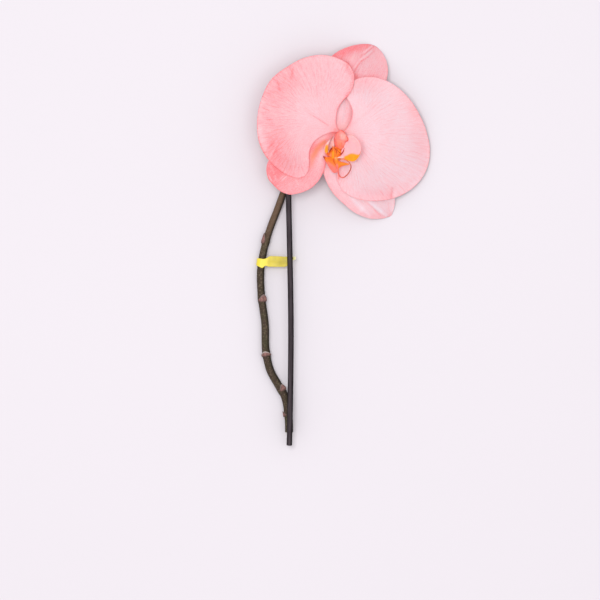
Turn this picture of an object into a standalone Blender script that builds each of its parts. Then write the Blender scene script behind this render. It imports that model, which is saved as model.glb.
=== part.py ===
# A cut moth orchid stem with one large bloom, lying face up beside its stake.
# The flower is built from outlines in millimetres, measured from the flower's centre.
import math

import bmesh
import bpy
import numpy as np
from mathutils import Vector

MM = 0.001

# driving dimensions, in millimetres
FLOWER_CENTRE = (-1.1, 96.3)     # in the part's frame, looking down on it
SEAT_HEIGHT = 17.0               # top of the seat that carries the flower
SEAT_RADIUS = 5.6
FLOWER_TILT = 0.105              # fall of the flower's face towards its right side
TEPAL_THICKNESS = 1.0
TEPAL_REACH = 80.0               # from the flower's centre to a tepal's rim
RIM_EASE = 1.7                   # how late the rim's shape takes over from the claw's
TOUCH = 0.3                      # gap between two pieces that touch
STEM_FOOT_RADIUS = 3.6
STEM_TIP_RADIUS = 3.0
STEM_NODE_SWELL = 0.35
STAKE_RADIUS = 2.5
TIE_THICKNESS = 0.7
BRACT_THICKNESS = 0.7
TENDRIL_RADIUS = 0.65

# stem's centreline from the cut foot to the flower: x, y and height
STEM_LINE = [
    (-47.2, -163.0, 3.6), (-48.0, -146.0, 3.95), (-51.2, -131.0, 4.1), (-57.0, -121.0, 4.2),
    (-63.5, -109.0, 4.3), (-67.0, -94.0, 4.5), (-68.0, -68.0, 4.6), (-71.3, -43.0, 4.75),
    (-71.6, -20.0, 4.9), (-68.6, -3.0, 4.9), (-63.6, 14.0, 4.9), (-57.5, 30.0, 4.8),
    (-51.0, 48.0, 4.9), (-44.5, 66.0, 5.4), (-38.3, 78.0, 6.7), (-33.0, 84.2, 7.4),
]
PEDICEL_LINE = [
    (-32.8, 84.5, 7.4), (-28.0, 88.3, 7.5), (-21.0, 91.2, 6.9), (-12.0, 93.8, 6.3),
    (-5.5, 95.4, 7.0), (-2.0, 96.2, 10.6), (-1.1, 96.3, 15.0),
]
STAKE_LINE = [
    (-46.9, -174.8, 10.45), (-46.2, -143.0, 10.6), (-45.5, -65.0, 10.6),
    (-46.3, -15.0, 10.7), (-47.5, 39.0, 11.0), (-48.0, 63.0, 11.3),
]

# each bract: place along the stem (y), side it faces in degrees, half its wrap, length, tip length
BRACTS = [
    ("bract_1", -148.0, 165.0, 55.0, 3.2, 2.0),
    ("bract_2", -126.5, 55.0, 60.0, 3.6, 2.6),
    ("bract_3", -96.0, 105.0, 95.0, 2.4, 2.0),
    ("bract_4", -48.0, 60.0, 85.0, 4.0, 2.6),
    ("bract_5", 2.5, 140.0, 50.0, 5.4, 4.6),
    ("bract_floral", 80.8, 215.0, 85.0, 4.0, 4.0),
]

# a tepal's outline: claw across the seat, two side edges and the rim between their ends
PETAL_LEFT = dict(
    side_a=[(-2.3, 3.7), (-4.4, 6.1), (-5.0, 13.0), (-3.3, 22.0), (1.1, 28.7), (6.4, 34.5), (9.8, 42.0), (10.6, 48.7)],
    rim=[(10.6, 48.7), (6.8, 58.9), (-3.5, 65.6), (-17.4, 68.5), (-32.2, 66.1), (-47.0, 58.5), (-61.3, 47.4),
         (-70.0, 30.4), (-73.8, 11.3), (-71.6, -9.1), (-63.7, -23.2), (-55.0, -31.3), (-47.0, -36.4),
         (-38.3, -38.7), (-31.8, -36.5)],
    side_b=[(-3.0, 1.2), (-8.3, 1.0), (-16.5, -1.6), (-24.4, -7.5), (-28.3, -15.7), (-28.2, -25.2),
            (-29.1, -32.2), (-31.8, -36.5)],
    seat=2.1, rise=6.0, reflex=10.0, bend=2.0, lift_a=1.6, lift_b=-0.4,
)
PETAL_RIGHT = dict(
    side_a=[(2.4, 3.5), (5.4, 6.5), (8.4, 13.1), (9.0, 19.6), (7.0, 25.7), (4.0, 31.2), (4.3, 38.3),
            (7.4, 43.9), (12.2, 47.2)],
    rim=[(12.2, 47.2), (19.1, 49.2), (27.8, 49.3), (37.4, 46.7), (47.9, 40.9), (58.3, 30.9), (67.9, 16.1),
         (74.2, 0.0), (76.6, -14.8), (74.4, -29.1), (66.6, -42.5), (54.8, -51.8), (41.8, -56.8),
         (27.8, -58.3), (15.7, -57.1), (7.0, -53.9), (0.9, -49.6)],
    side_b=[(3.4, 0.6), (3.9, -5.2), (1.7, -13.9), (-2.2, -22.6), (-4.5, -31.3), (-3.7, -40.9), (0.9, -49.6)],
    seat=2.1, rise=6.0, reflex=14.0, bend=2.0, lift_a=-0.9, lift_b=-0.4,
)
SEPAL_DORSAL = dict(
    side_a=[(-2.6, 2.4), (-6.4, 7.6), (-10.0, 17.5), (-14.8, 33.0), (-17.0, 47.0), (-14.8, 59.2), (-9.1, 67.3),
            (-0.9, 73.1)],
    rim=[(-0.9, 73.1), (9.6, 76.9), (20.0, 78.3), (25.2, 77.9), (29.6, 76.2), (33.5, 72.6), (38.3, 64.4)],
    side_b=[(3.4, 1.7), (7.4, 6.6), (12.5, 13.6), (21.9, 24.4), (32.2, 35.7), (38.7, 46.5), (40.0, 54.8),
            (38.3, 64.4)],
    seat=0.8, rise=2.0, reflex=15.23, bend=3.0, lift_a=0.0, lift_b=0.0,
)
SEPAL_LATERAL_LEFT = dict(
    side_a=[(-3.9, 1.4), (-14.8, 2.6), (-29.6, 0.9), (-45.2, -6.1), (-58.3, -15.7), (-64.6, -25.2)],
    rim=[(-64.6, -25.2), (-65.5, -33.9), (-63.5, -40.2), (-60.9, -43.2), (-53.9, -49.8), (-45.2, -53.0)],
    side_b=[(-2.4, -3.4), (-7.2, -12.2), (-13.0, -22.6), (-16.4, -33.8), (-20.0, -40.4), (-26.1, -46.8),
            (-35.7, -51.3), (-45.2, -53.0)],
    seat=0.8, rise=5.0, reflex=9.6, bend=2.0, lift_a=0.0, lift_b=0.0,
)
SEPAL_LATERAL_RIGHT = dict(
    side_a=[(-0.7, -4.3), (-6.6, -12.6), (-13.0, -21.4), (-16.6, -31.3), (-13.4, -42.2), (-7.4, -52.2),
            (1.3, -60.9), (11.3, -68.6), (21.8, -73.1)],
    rim=[(21.8, -73.1), (32.2, -73.8), (38.7, -72.6), (43.2, -70.6), (44.6, -67.0), (46.1, -58.3)],
    side_b=[(2.9, -2.6), (13.9, -7.8), (27.8, -19.1), (38.3, -33.1), (44.4, -47.0), (46.1, -58.3)],
    seat=0.8, rise=2.0, reflex=13.35, bend=3.0, lift_a=-0.6, lift_b=0.0,
)

# the lip's blades: outlines with heights above the flower's seat
SIDE_LOBE_RIGHT = dict(
    side_a=[(-1.4, -15.6, 8.8), (3.0, -11.8, 9.3), (4.9, -6.6, 10.2), (6.6, -1.9, 11.0)],
    rim=[(6.6, -1.9, 11.0), (8.5, -1.2, 12.0), (12.4, -3.7, 14.0), (15.3, -7.7, 15.6), (16.5, -12.2, 16.2),
         (15.8, -16.8, 15.4), (13.1, -21.1, 13.6)],
    side_b=[(-1.8, -19.0, 8.8), (4.4, -22.4, 9.6), (8.9, -24.2, 11.2), (13.1, -21.1, 13.6)],
    bulge=(1.2, -0.8, -3.0),
)
SIDE_LOBE_LEFT = dict(
    side_a=[(-6.8, -13.4, 8.2), (-8.2, -9.4, 9.0), (-9.2, -4.8, 10.8), (-7.6, -2.1, 12.8)],
    rim=[(-7.6, -2.1, 12.8), (-9.0, -4.8, 14.8), (-10.4, -9.4, 15.6), (-11.6, -14.4, 14.4)],
    side_b=[(-8.0, -18.4, 8.2), (-11.6, -19.4, 9.4), (-13.0, -18.0, 11.8), (-11.6, -14.4, 14.4)],
    bulge=(-4.0, 0.6, -0.6),
)
MIDLOBE_LEFT = dict(
    side_a=[(-6.6, -18.6, 9.4), (-11.3, -20.4, 10.6), (-14.2, -20.3, 11.6), (-16.6, -19.2, 12.8)],
    rim=[(-16.6, -19.2, 12.8), (-16.2, -20.6, 12.2)],
    side_b=[(-3.6, -32.4, 11.2), (-6.6, -34.2, 9.6), (-10.0, -30.9, 9.0), (-13.2, -25.6, 10.2), (-16.2, -20.6, 12.2)],
    bulge=(0.4, 0.6, 1.4),
)
MIDLOBE_RIGHT = dict(
    side_a=[(-4.6, -20.2, 10.4), (-1.7, -23.3, 12.2), (2.6, -25.0, 12.6), (6.5, -26.0, 13.0)],
    rim=[(6.5, -26.0, 13.0), (6.3, -26.9, 12.7)],
    side_b=[(-2.9, -31.0, 12.2), (-0.9, -28.9, 11.6), (2.6, -27.9, 11.8), (6.3, -26.9, 12.7)],
    bulge=(0.3, 0.2, 0.8),
)
LIP_THICKNESS = 0.9
CALLUS_CENTRE = (-5.0, -17.1, 9.0)
CALLUS_RADII = (5.2, 4.9, 3.5)
HORNS = [
    ((-6.4, -15.6, 10.2), (-11.3, -15.8, 12.8)),
    ((-6.6, -16.0, 10.6), (-8.0, -11.2, 13.2)),
    ((-1.6, -17.0, 10.6), (2.1, -13.0, 13.6)),
]
MIDRIB_LINE = [(-5.6, -19.6, 10.4), (-4.8, -25.6, 12.4), (-3.3, -31.8, 11.4)]
MIDRIB_RADIUS = 0.95
TENDRIL_LOOP = [
    (-3.2, -31.6, 11.2), (-2.9, -35.2, 9.8), (-1.4, -37.6, 9.2), (1.0, -38.1, 9.0), (3.9, -36.2, 9.6),
    (6.4, -33.0, 10.6), (7.7, -29.3, 12.0), (7.0, -26.3, 14.8), (4.8, -23.9, 15.8), (1.6, -22.4, 15.9),
    (-2.0, -22.4, 15.2),
]
TENDRIL_SHORT = [(-3.6, -31.4, 11.0), (-3.1, -35.6, 8.8), (-2.8, -39.4, 7.9)]

# the tie seen from above: x, y of the ribbon's middle there and half its width
TIE_COURSE = [
    (-75.0, -14.8, 3.1), (-72.6, -15.6, 3.6), (-69.8, -16.3, 3.9), (-67.4, -15.1, 3.3), (-64.6, -14.5, 4.6),
    (-59.4, -14.4, 4.8), (-48.9, -15.0, 4.9), (-46.0, -13.2, 3.0), (-43.7, -11.9, 1.4), (-41.0, -11.6, 1.1),
]

# the column's hood from the front, round its middle, and how wide it is from foot to brow
HOOD_MIDDLE = (-0.6, -3.9)
HOOD_OUTLINE = [
    (0.2, 7.2), (3.1, 4.7), (5.6, 0.6), (6.1, -1.6), (4.4, -4.2), (0.6, -6.0), (-4.0, -5.4), (-5.9, -2.0),
    (-5.7, 1.4), (-4.6, 3.9), (-2.2, 6.2),
]
COLUMN_HEIGHT = 15.2
COLUMN_WIDTHS = [(0.0, 0.44), (0.22, 0.47), (0.42, 0.68), (0.62, 0.94), (0.82, 1.0), (1.0, 0.86)]
VENTRAL_LINE = [(-1.4, -5.0, 10.6), (-2.1, -8.5, 10.3), (-2.5, -11.6, 9.7)]
VENTRAL_RADIUS = 3.9
CAP_CENTRE = (0.9, -2.6, 13.3)
CAP_RADII = (3.0, 2.8, 2.7)

COLOURS = dict(
    stem=(0.105, 0.085, 0.050), pedicel=(0.200, 0.170, 0.085), bract=(0.420, 0.230, 0.190),
    petal=(0.960, 0.520, 0.540), sepal=(0.930, 0.400, 0.410), lip=(0.900, 0.330, 0.060),
    column=(0.930, 0.340, 0.280), cap=(0.960, 0.560, 0.450), stake=(0.020, 0.018, 0.020),
    tie=(0.850, 0.800, 0.090),
)


def clear_scene():
    for thing in list(bpy.data.objects):
        bpy.data.objects.remove(thing, do_unlink=True)


def collection(name, hidden=False):
    made = bpy.data.collections.new(name)
    made.hide_render = hidden
    bpy.context.scene.collection.children.link(made)
    return made


def material(name, colour, roughness):
    made = bpy.data.materials.new(name)
    made.use_nodes = True
    shader = made.node_tree.nodes["Principled BSDF"]
    shader.inputs["Base Color"].default_value = (*colour, 1.0)
    shader.inputs["Roughness"].default_value = roughness
    shader.inputs["Metallic"].default_value = 0.0
    return made


def through(points, where):
    # smooth curve through the points, read at fractions of its length
    points = np.array(points, dtype=float)
    steps = np.linalg.norm(np.diff(points, axis=0), axis=1)
    knots = np.concatenate(([0.0], np.cumsum(steps))) / steps.sum()
    slopes = np.gradient(points, knots, axis=0, edge_order=min(2, len(points) - 1))
    where = np.asarray(where, dtype=float)
    left = np.clip(np.searchsorted(knots, where, side="right") - 1, 0, len(points) - 2)
    span = knots[left + 1] - knots[left]
    u = ((where - knots[left]) / span)[..., None]
    span = span[..., None]
    start = (2 * u**3 - 3 * u**2 + 1) * points[left] + (u**3 - 2 * u**2 + u) * span * slopes[left]
    end = (3 * u**2 - 2 * u**3) * points[left + 1] + (u**3 - u**2) * span * slopes[left + 1]
    return start + end


def blended_patch(shape, s, t):
    # Coons patch: claw at s = 0, rim at s = 1, side a at t = 0, side b at t = 1
    side_a = through(shape["side_a"], s)
    side_b = through(shape["side_b"], s)
    claw = through([shape["side_a"][0], shape["side_b"][0]], t)
    rim = through(shape["rim"], t)
    corners = [np.array(shape[edge][end], dtype=float) for edge in ("side_a", "side_b") for end in (0, -1)]
    s = s[..., None] ** RIM_EASE
    t = t[..., None]
    sides = (1 - t) * side_a + t * side_b
    ends = (1 - s) * claw + s * rim
    twist = (1 - t) * ((1 - s) * corners[0] + s * corners[1]) + t * ((1 - s) * corners[2] + s * corners[3])
    return sides + ends - twist


def tepal_surface(shape, s, t):
    # height: rises from the claw, arches back with a power of its reach, one edge lifted
    flat = blended_patch(shape, s, t)
    reach = np.hypot(flat[..., 0], flat[..., 1])
    height = SEAT_HEIGHT + shape["seat"] + shape["rise"] * (1 - np.exp(-reach / 18.0))
    height = height - shape["reflex"] * (reach / TEPAL_REACH) ** shape["bend"] - FLOWER_TILT * flat[..., 0]
    out = s * s * (3 - 2 * s)
    height = height + out * (shape["lift_a"] * np.exp(-(t / 0.2) ** 2))
    height = height + out * (shape["lift_b"] * np.exp(-((1 - t) / 0.2) ** 2))
    x = flat[..., 0] + FLOWER_CENTRE[0]
    y = flat[..., 1] + FLOWER_CENTRE[1]
    return np.stack((x, y, height), axis=-1)


def lobe_surface(shape, s, t):
    # a lip blade: its 3-D outline, with the middle pushed along the bulge
    swell = 16.0 * s * (1 - s) * t * (1 - t)
    place = blended_patch(shape, s, t) + swell[..., None] * np.array(shape["bulge"])
    return place + np.array((*FLOWER_CENTRE, SEAT_HEIGHT))


def grid_object(name, surface, across, along):
    # a grid primitive whose corners run 0 to 1 in s and t, moved onto the surface
    mesh = bpy.data.meshes.new(name)
    bm = bmesh.new()
    bmesh.ops.create_grid(bm, x_segments=across, y_segments=along, size=0.5)
    bm.verts.ensure_lookup_table()
    corner = np.array([vert.co[:2] for vert in bm.verts]) + 0.5
    places = surface(np.clip(corner[:, 1], 0, 1), np.clip(corner[:, 0], 0, 1)) * MM
    for vert, place in zip(bm.verts, places):
        vert.co = place
    bmesh.ops.triangulate(bm, faces=bm.faces)
    bm.to_mesh(mesh)
    bm.free()
    return bpy.data.objects.new(name, mesh)


def thicken(thing, thickness):
    solidify = thing.modifiers.new("thickness", "SOLIDIFY")
    solidify.thickness = thickness * MM
    solidify.offset = 0.0


def tube_object(name, centres, radii, sides):
    # a curve with round bevel and filled caps, one radius for each centre
    curve = bpy.data.curves.new(name, "CURVE")
    curve.dimensions = "3D"
    curve.bevel_depth = MM
    curve.bevel_resolution = (sides - 4) // 2
    curve.use_fill_caps = True
    spline = curve.splines.new("POLY")
    spline.points.add(len(centres) - 1)
    for point, centre, radius in zip(spline.points, centres, radii):
        point.co = (*(np.array(centre) * MM), 1.0)
        point.radius = radius
    return bpy.data.objects.new(name, curve)


def smooth_tube(name, line, radius, spacing, sides):
    # radius is a number or a function of the place along the line, 0 to 1
    length = np.linalg.norm(np.diff(np.array(line), axis=0), axis=1).sum()
    where = np.linspace(0.0, 1.0, max(int(length / spacing) + 1, 4))
    centres = through(line, where)
    radii = [radius(place, centre) if callable(radius) else radius for place, centre in zip(where, centres)]
    return tube_object(name, centres, radii, sides)


def ball_object(name, centre, radii, around=20, rings=12):
    mesh = bpy.data.meshes.new(name)
    bm = bmesh.new()
    bmesh.ops.create_uvsphere(bm, u_segments=around, v_segments=rings, radius=1.0)
    bmesh.ops.scale(bm, vec=Vector(radii) * MM, verts=bm.verts)
    bmesh.ops.translate(bm, vec=Vector(centre) * MM, verts=bm.verts)
    bm.to_mesh(mesh)
    bm.free()
    return bpy.data.objects.new(name, mesh)


def in_flower(place):
    return (place[0] + FLOWER_CENTRE[0], place[1] + FLOWER_CENTRE[1], place[2] + SEAT_HEIGHT)


def weld(mesh):
    # joins the caps of a tube to its side, and triangles throughout
    bm = bmesh.new()
    bm.from_mesh(mesh)
    bmesh.ops.remove_doubles(bm, verts=bm.verts, dist=0.02 * MM)
    bmesh.ops.triangulate(bm, faces=bm.faces)
    bmesh.ops.recalc_face_normals(bm, faces=bm.faces)
    bm.to_mesh(mesh)
    bm.free()


def as_mesh(thing, home):
    # the evaluated shape of a curve or modified mesh, as a plain mesh object
    home.objects.link(thing)
    bpy.context.view_layer.update()
    graph = bpy.context.evaluated_depsgraph_get()
    mesh = bpy.data.meshes.new_from_object(thing.evaluated_get(graph))
    name = thing.name
    bpy.data.objects.remove(thing, do_unlink=True)
    mesh.name = name
    weld(mesh)
    made = bpy.data.objects.new(name, mesh)
    home.objects.link(made)
    return made


def combine(base, others, operation, home):
    # Boolean with each of the others in turn; the others are removed
    for other in others:
        step = base.modifiers.new("combine", "BOOLEAN")
        step.operation = operation
        step.solver = "EXACT"
        step.object = other
        home.objects.unlink(base)
        base = as_mesh(base, home)
        bpy.data.objects.remove(other, do_unlink=True)
    return base


def finish(thing, home, workshop, slot, colour, roughness):
    # a welded mesh with one material, linked where it shows
    if thing.name not in workshop.objects:
        thing = as_mesh(thing, workshop)
    workshop.objects.unlink(thing)
    thing.data.materials.clear()
    thing.data.materials.append(material(slot, COLOURS[colour], roughness))
    home.objects.link(thing)


def stem_radius(place, centre):
    # tapers from foot to tip and swells at each node
    taper = STEM_FOOT_RADIUS + (STEM_TIP_RADIUS - STEM_FOOT_RADIUS) * place
    swell = sum(math.exp(-((centre[1] - bract[1]) / 2.6) ** 2) for bract in BRACTS)
    return taper + STEM_NODE_SWELL * swell


def make_stem():
    return smooth_tube("stem", STEM_LINE, stem_radius, 3.0, 16)


def pedicel_radius(place, centre):
    # slim stalk, thicker ovary, then the flared seat
    stalk = 1.9 + 0.7 * math.exp(-((place - 0.72) / 0.22) ** 2)
    flare = max(0.0, (centre[2] - (SEAT_HEIGHT - 4.0)) / 4.0)
    return stalk + (SEAT_RADIUS - stalk) * min(1.0, flare) ** 2


def make_pedicel():
    top = (*FLOWER_CENTRE, SEAT_HEIGHT)
    return smooth_tube("pedicel", [*PEDICEL_LINE, top], pedicel_radius, 1.3, 16)


def stem_place(y):
    # centre and direction of the stem at this y
    where = np.linspace(0.0, 1.0, 600)
    line = through(STEM_LINE, where)
    nearest = int(np.argmin(np.abs(line[:, 1] - y)))
    ahead = line[min(nearest + 3, 599)] - line[nearest - 3]
    return line[nearest], ahead / np.linalg.norm(ahead), where[nearest]


def make_bract(name, y, facing, half_wrap, length, tip):
    # a sheath hugging the stem, pointed at its middle, flared a little at its free end
    centre, ahead, place = stem_place(y)
    side = np.cross(ahead, (0.0, 0.0, 1.0))
    side = side / np.linalg.norm(side)
    up = np.cross(side, ahead)
    gap = TOUCH + BRACT_THICKNESS / 2 + 0.02

    def surface(s, t):
        turn = np.radians(facing + half_wrap * (2 * t - 1))
        middle = np.cos(math.pi * (t - 0.5))
        along = (s - 0.5) * length * (0.3 + 0.7 * middle) + s * tip * middle**2
        swell = np.exp(-((along * ahead[1]) / 2.6) ** 2)
        radius = STEM_FOOT_RADIUS + (STEM_TIP_RADIUS - STEM_FOOT_RADIUS) * place
        radius = radius + STEM_NODE_SWELL * np.maximum(swell, 0.55) + gap + 0.35 * s**2 * middle
        out = np.cos(turn)[:, None] * side + np.sin(turn)[:, None] * up
        return centre + along[:, None] * ahead + radius[:, None] * out

    bract = grid_object(name, surface, 16, 6)
    thicken(bract, BRACT_THICKNESS)
    return bract


def make_tepal(name, shape):
    tepal = grid_object(name, lambda s, t: tepal_surface(shape, s, t), 16, 16)
    thicken(tepal, TEPAL_THICKNESS)
    return tepal


def make_lip(workshop):
    blades = []
    for name, shape in (("side_lobe_right", SIDE_LOBE_RIGHT), ("side_lobe_left", SIDE_LOBE_LEFT),
                        ("midlobe_left", MIDLOBE_LEFT), ("midlobe_right", MIDLOBE_RIGHT)):
        blade = grid_object(name, lambda s, t, shape=shape: lobe_surface(shape, s, t), 8, 8)
        thicken(blade, LIP_THICKNESS)
        blades.append(as_mesh(blade, workshop))
    midrib = smooth_tube("midrib", [in_flower(p) for p in MIDRIB_LINE], MIDRIB_RADIUS, 1.6, 10)
    blades.append(as_mesh(midrib, workshop))
    for foot, tip in HORNS:
        horn = tube_object("horn", [in_flower(foot), in_flower(tip)], [1.5, 0.5], 8)
        blades.append(as_mesh(horn, workshop))
    for line in (TENDRIL_LOOP, TENDRIL_SHORT):
        tendril = smooth_tube("tendril", [in_flower(p) for p in line], TENDRIL_RADIUS, 1.8, 8)
        blades.append(as_mesh(tendril, workshop))
    callus = as_mesh(ball_object("lip", in_flower(CALLUS_CENTRE), CALLUS_RADII), workshop)
    return combine(callus, blades, "UNION", workshop)


def make_column(workshop):
    # a ball drawn out into the hood's outline, narrow at its foot
    column = ball_object("column", (0.0, 0.0, 0.0), (1.0, 1.0, 1.0), 24, 18)
    count = len(column.data.vertices)
    places = np.zeros(count * 3)
    column.data.vertices.foreach_get("co", places)
    places = places.reshape(count, 3) / MM
    level = (places[:, 2] + 1) / 2
    angle = np.arctan2(places[:, 0], places[:, 1]) / (2 * math.pi) % 1.0
    brow = through([*HOOD_OUTLINE, HOOD_OUTLINE[0]], angle)
    width = np.interp(level, *zip(*COLUMN_WIDTHS))
    fill = np.hypot(places[:, 0], places[:, 1]) ** 0.45
    round_foot = np.array(brow)
    length = np.maximum(np.linalg.norm(round_foot, axis=1), 1e-6)[:, None]
    round_foot = round_foot / length * 6.4
    mix = np.clip((level - 0.2) / 0.4, 0, 1)[:, None]
    ring = round_foot * (1 - mix) + brow * mix
    middle = np.outer(mix[:, 0], HOOD_MIDDLE) + np.outer(1 - mix[:, 0], (-0.2, -0.6))
    flat = middle + ring * (width * fill)[:, None]
    height = SEAT_HEIGHT + TOUCH + COLUMN_HEIGHT * level
    moved = np.column_stack((flat + np.array(FLOWER_CENTRE), height)) * MM
    column.data.vertices.foreach_set("co", moved.ravel())
    column = as_mesh(column, workshop)
    ventral = smooth_tube("ventral", [in_flower(p) for p in VENTRAL_LINE], VENTRAL_RADIUS, 1.6, 16)
    column = combine(column, [as_mesh(ventral, workshop)], "UNION", workshop)
    cap_seat = ball_object("cap_seat", in_flower(CAP_CENTRE), [r + TOUCH for r in CAP_RADII])
    lip_seat = ball_object("lip_seat", in_flower(CALLUS_CENTRE), [r + TOUCH for r in CALLUS_RADII])
    cutters = [as_mesh(cap_seat, workshop), as_mesh(lip_seat, workshop)]
    return combine(column, cutters, "DIFFERENCE", workshop)


def make_stake():
    return smooth_tube("stake", STAKE_LINE, STAKE_RADIUS, 12.0, 14)


def tie_surface(s, t):
    # a ribbon: from behind the stake, round the stem and back behind the stake, its end curled up
    centre, ahead, place = stem_place(-15.5)
    radius = STEM_FOOT_RADIUS + (STEM_TIP_RADIUS - STEM_FOOT_RADIUS) * place
    radius = radius + TOUCH + TIE_THICKNESS / 2 + 0.12
    stem_x = centre[0]
    stem_z = centre[2]
    turns = np.radians(np.linspace(258.0, 78.0, 7))
    loop = [(stem_x + radius * math.cos(turn), stem_z + radius * math.sin(turn)) for turn in turns]
    path = [(-48.4, 6.2), (-58.0, 3.3), *loop, (-66.0, 8.5), (-57.0, 7.9), (-47.5, 7.6), (-43.6, 7.8), (-41.4, 9.4)]
    line = through(path, s)
    hug = np.clip((-52.0 - line[:, 0]) / 16.0, 0, 1)
    course_x, course_y, course_half = zip(*TIE_COURSE)
    across = (2 * t - 1) * np.interp(line[:, 0], course_x, course_half)
    y = np.interp(line[:, 0], course_x, course_y) + across
    x = line[:, 0] + hug * across * ahead[0] / ahead[1]
    return np.stack((x, y, line[:, 1]), axis=-1)


def make_tie():
    tie = grid_object("tie", tie_surface, 6, 56)
    thicken(tie, TIE_THICKNESS)
    return tie


def build():
    clear_scene()
    part = collection("moth_orchid_stem")
    workshop = collection("workshop", hidden=True)
    finish(make_stem(), part, workshop, "stem", "stem", 0.55)
    finish(make_pedicel(), part, workshop, "pedicel", "pedicel", 0.5)
    for bract in BRACTS:
        finish(make_bract(*bract), part, workshop, bract[0], "bract", 0.6)
    tepals = (("petal_left", PETAL_LEFT, "petal"), ("petal_right", PETAL_RIGHT, "petal"),
              ("sepal_dorsal", SEPAL_DORSAL, "sepal"), ("sepal_lateral_left", SEPAL_LATERAL_LEFT, "sepal"),
              ("sepal_lateral_right", SEPAL_LATERAL_RIGHT, "sepal"))
    for name, shape, colour in tepals:
        finish(make_tepal(name, shape), part, workshop, name, colour, 0.45)
    finish(make_lip(workshop), part, workshop, "lip", "lip", 0.35)
    finish(make_column(workshop), part, workshop, "column", "column", 0.35)
    cap = ball_object("anther_cap", in_flower(CAP_CENTRE), CAP_RADII)
    finish(cap, part, workshop, "anther_cap", "cap", 0.35)
    finish(make_stake(), part, workshop, "stake", "stake", 0.4)
    finish(make_tie(), part, workshop, "tie", "tie", 0.4)


build()
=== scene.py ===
# Looks of a cut moth orchid stem: one large bloom face up, its stem, its stake and its tie.
import math

import bpy
import numpy as np
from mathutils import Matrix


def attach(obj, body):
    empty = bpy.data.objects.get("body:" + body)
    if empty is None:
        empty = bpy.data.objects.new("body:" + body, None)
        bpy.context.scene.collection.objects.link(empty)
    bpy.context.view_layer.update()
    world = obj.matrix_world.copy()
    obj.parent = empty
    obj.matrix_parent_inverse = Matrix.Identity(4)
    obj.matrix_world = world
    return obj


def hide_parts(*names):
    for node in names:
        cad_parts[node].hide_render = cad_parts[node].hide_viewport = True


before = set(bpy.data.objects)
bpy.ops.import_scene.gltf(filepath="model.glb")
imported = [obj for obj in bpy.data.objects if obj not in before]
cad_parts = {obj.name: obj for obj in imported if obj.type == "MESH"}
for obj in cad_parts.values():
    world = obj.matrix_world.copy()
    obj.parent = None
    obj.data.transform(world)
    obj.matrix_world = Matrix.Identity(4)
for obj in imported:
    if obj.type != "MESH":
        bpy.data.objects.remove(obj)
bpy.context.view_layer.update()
print("frame loaded:", len(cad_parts), "solids")

mm = 0.001                                       # shapes are worked out in millimetres
upwards = (0.0, 0.0, 1.0)
flowerCentre = np.array((-1.1, 96.3, 17.0))      # middle of the bloom, on top of its seat
flowerTilt = 0.105                               # fall of the bloom's face towards its right side
rimEase = 1.7                                    # how late a rim's shape takes over from its claw's
evenShare = 0.45                                 # share of even steps between a patch's rows
capArc = np.linspace(0.0, math.pi / 2, 9)[1:-1]  # levels of the rings that close a tube's end


def smoothStep(low, high, value):
    # 0 below low, 1 above high, cubic between
    u = np.clip((value - low) / (high - low), 0.0, 1.0)
    return u * u * (3 - 2 * u)


def gaussian(value, middle, reach):
    # 1 at the middle, falling off over the reach
    return np.exp(-((value - middle) / reach) ** 2)


def oval(x, y, midX, midY, reachX, reachY):
    return gaussian(x, midX, reachX) * gaussian(y, midY, reachY)


def unit(vectors):
    return vectors / np.linalg.norm(vectors, axis=-1, keepdims=True)


def fullTurn(sides):
    return np.linspace(0.0, 2 * math.pi, sides, endpoint=False)


def flowerPlace(place):
    # from the bloom's own millimetres to the part's
    return np.asarray(place, dtype=float) + flowerCentre


def curveThrough(points, where):
    # cubic Hermite curve: knots by chord length, slopes by central differences
    points = np.array(points, dtype=float)
    steps = np.linalg.norm(np.diff(points, axis=0), axis=1)
    knots = np.concatenate(([0.0], np.cumsum(steps))) / steps.sum()
    slopes = np.gradient(points, knots, axis=0, edge_order=min(2, len(points) - 1))
    where = np.asarray(where, dtype=float)
    left = np.clip(np.searchsorted(knots, where, side="right") - 1, 0, len(points) - 2)
    span = (knots[left + 1] - knots[left])[..., None]
    u = (where - knots[left])[..., None] / span
    start = (2 * u**3 - 3 * u**2 + 1) * points[left] + (u**3 - 2 * u**2 + u) * span * slopes[left]
    end = (3 * u**2 - 2 * u**3) * points[left + 1] + (u**3 - u**2) * span * slopes[left + 1]
    return start + end


def outlinePatch(shape, s, t):
    # Coons patch: claw at s = 0, rim at s = 1, side a at t = 0, side b at t = 1; the rim's points run
    # between the sides' last ones; the ends are weighted by s to the power of rimEase
    sideA, sideB = (curveThrough(shape[side], s) for side in ("sideA", "sideB"))
    (clawA, rimA), (clawB, rimB) = (np.array(shape[side])[[0, -1]] for side in ("sideA", "sideB"))
    claw, rim = curveThrough([clawA, clawB], t), curveThrough([rimA, *shape["rim"], rimB], t)
    s, t = s[..., None] ** rimEase, t[..., None]
    sides = (1 - t) * sideA + t * sideB
    ends = (1 - s) * claw + s * rim
    corners = (1 - t) * ((1 - s) * clawA + s * rimA) + t * ((1 - s) * clawB + s * rimB)
    return sides + ends - corners


def patchGrid(rows, columns):
    # s down the rows and t across the columns, both 0 to 1 and closer together near the ends
    def spread(count):
        even = np.linspace(0.0, 1.0, count)
        return evenShare * even + (1 - evenShare) * (0.5 - 0.5 * np.cos(math.pi * even))
    return np.meshgrid(spread(rows), spread(columns), indexing="ij")


def borderDistance(middle):
    # least length along the grid's lines from each point to the surface's border
    across = np.pad(np.linalg.norm(np.diff(middle, axis=1), axis=-1), ((0, 0), (1, 0))).cumsum(axis=1)
    down = np.pad(np.linalg.norm(np.diff(middle, axis=0), axis=-1), ((1, 0), (0, 0))).cumsum(axis=0)
    return np.minimum.reduce((across, across[:, -1:] - across, down, down[-1:] - down))


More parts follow.
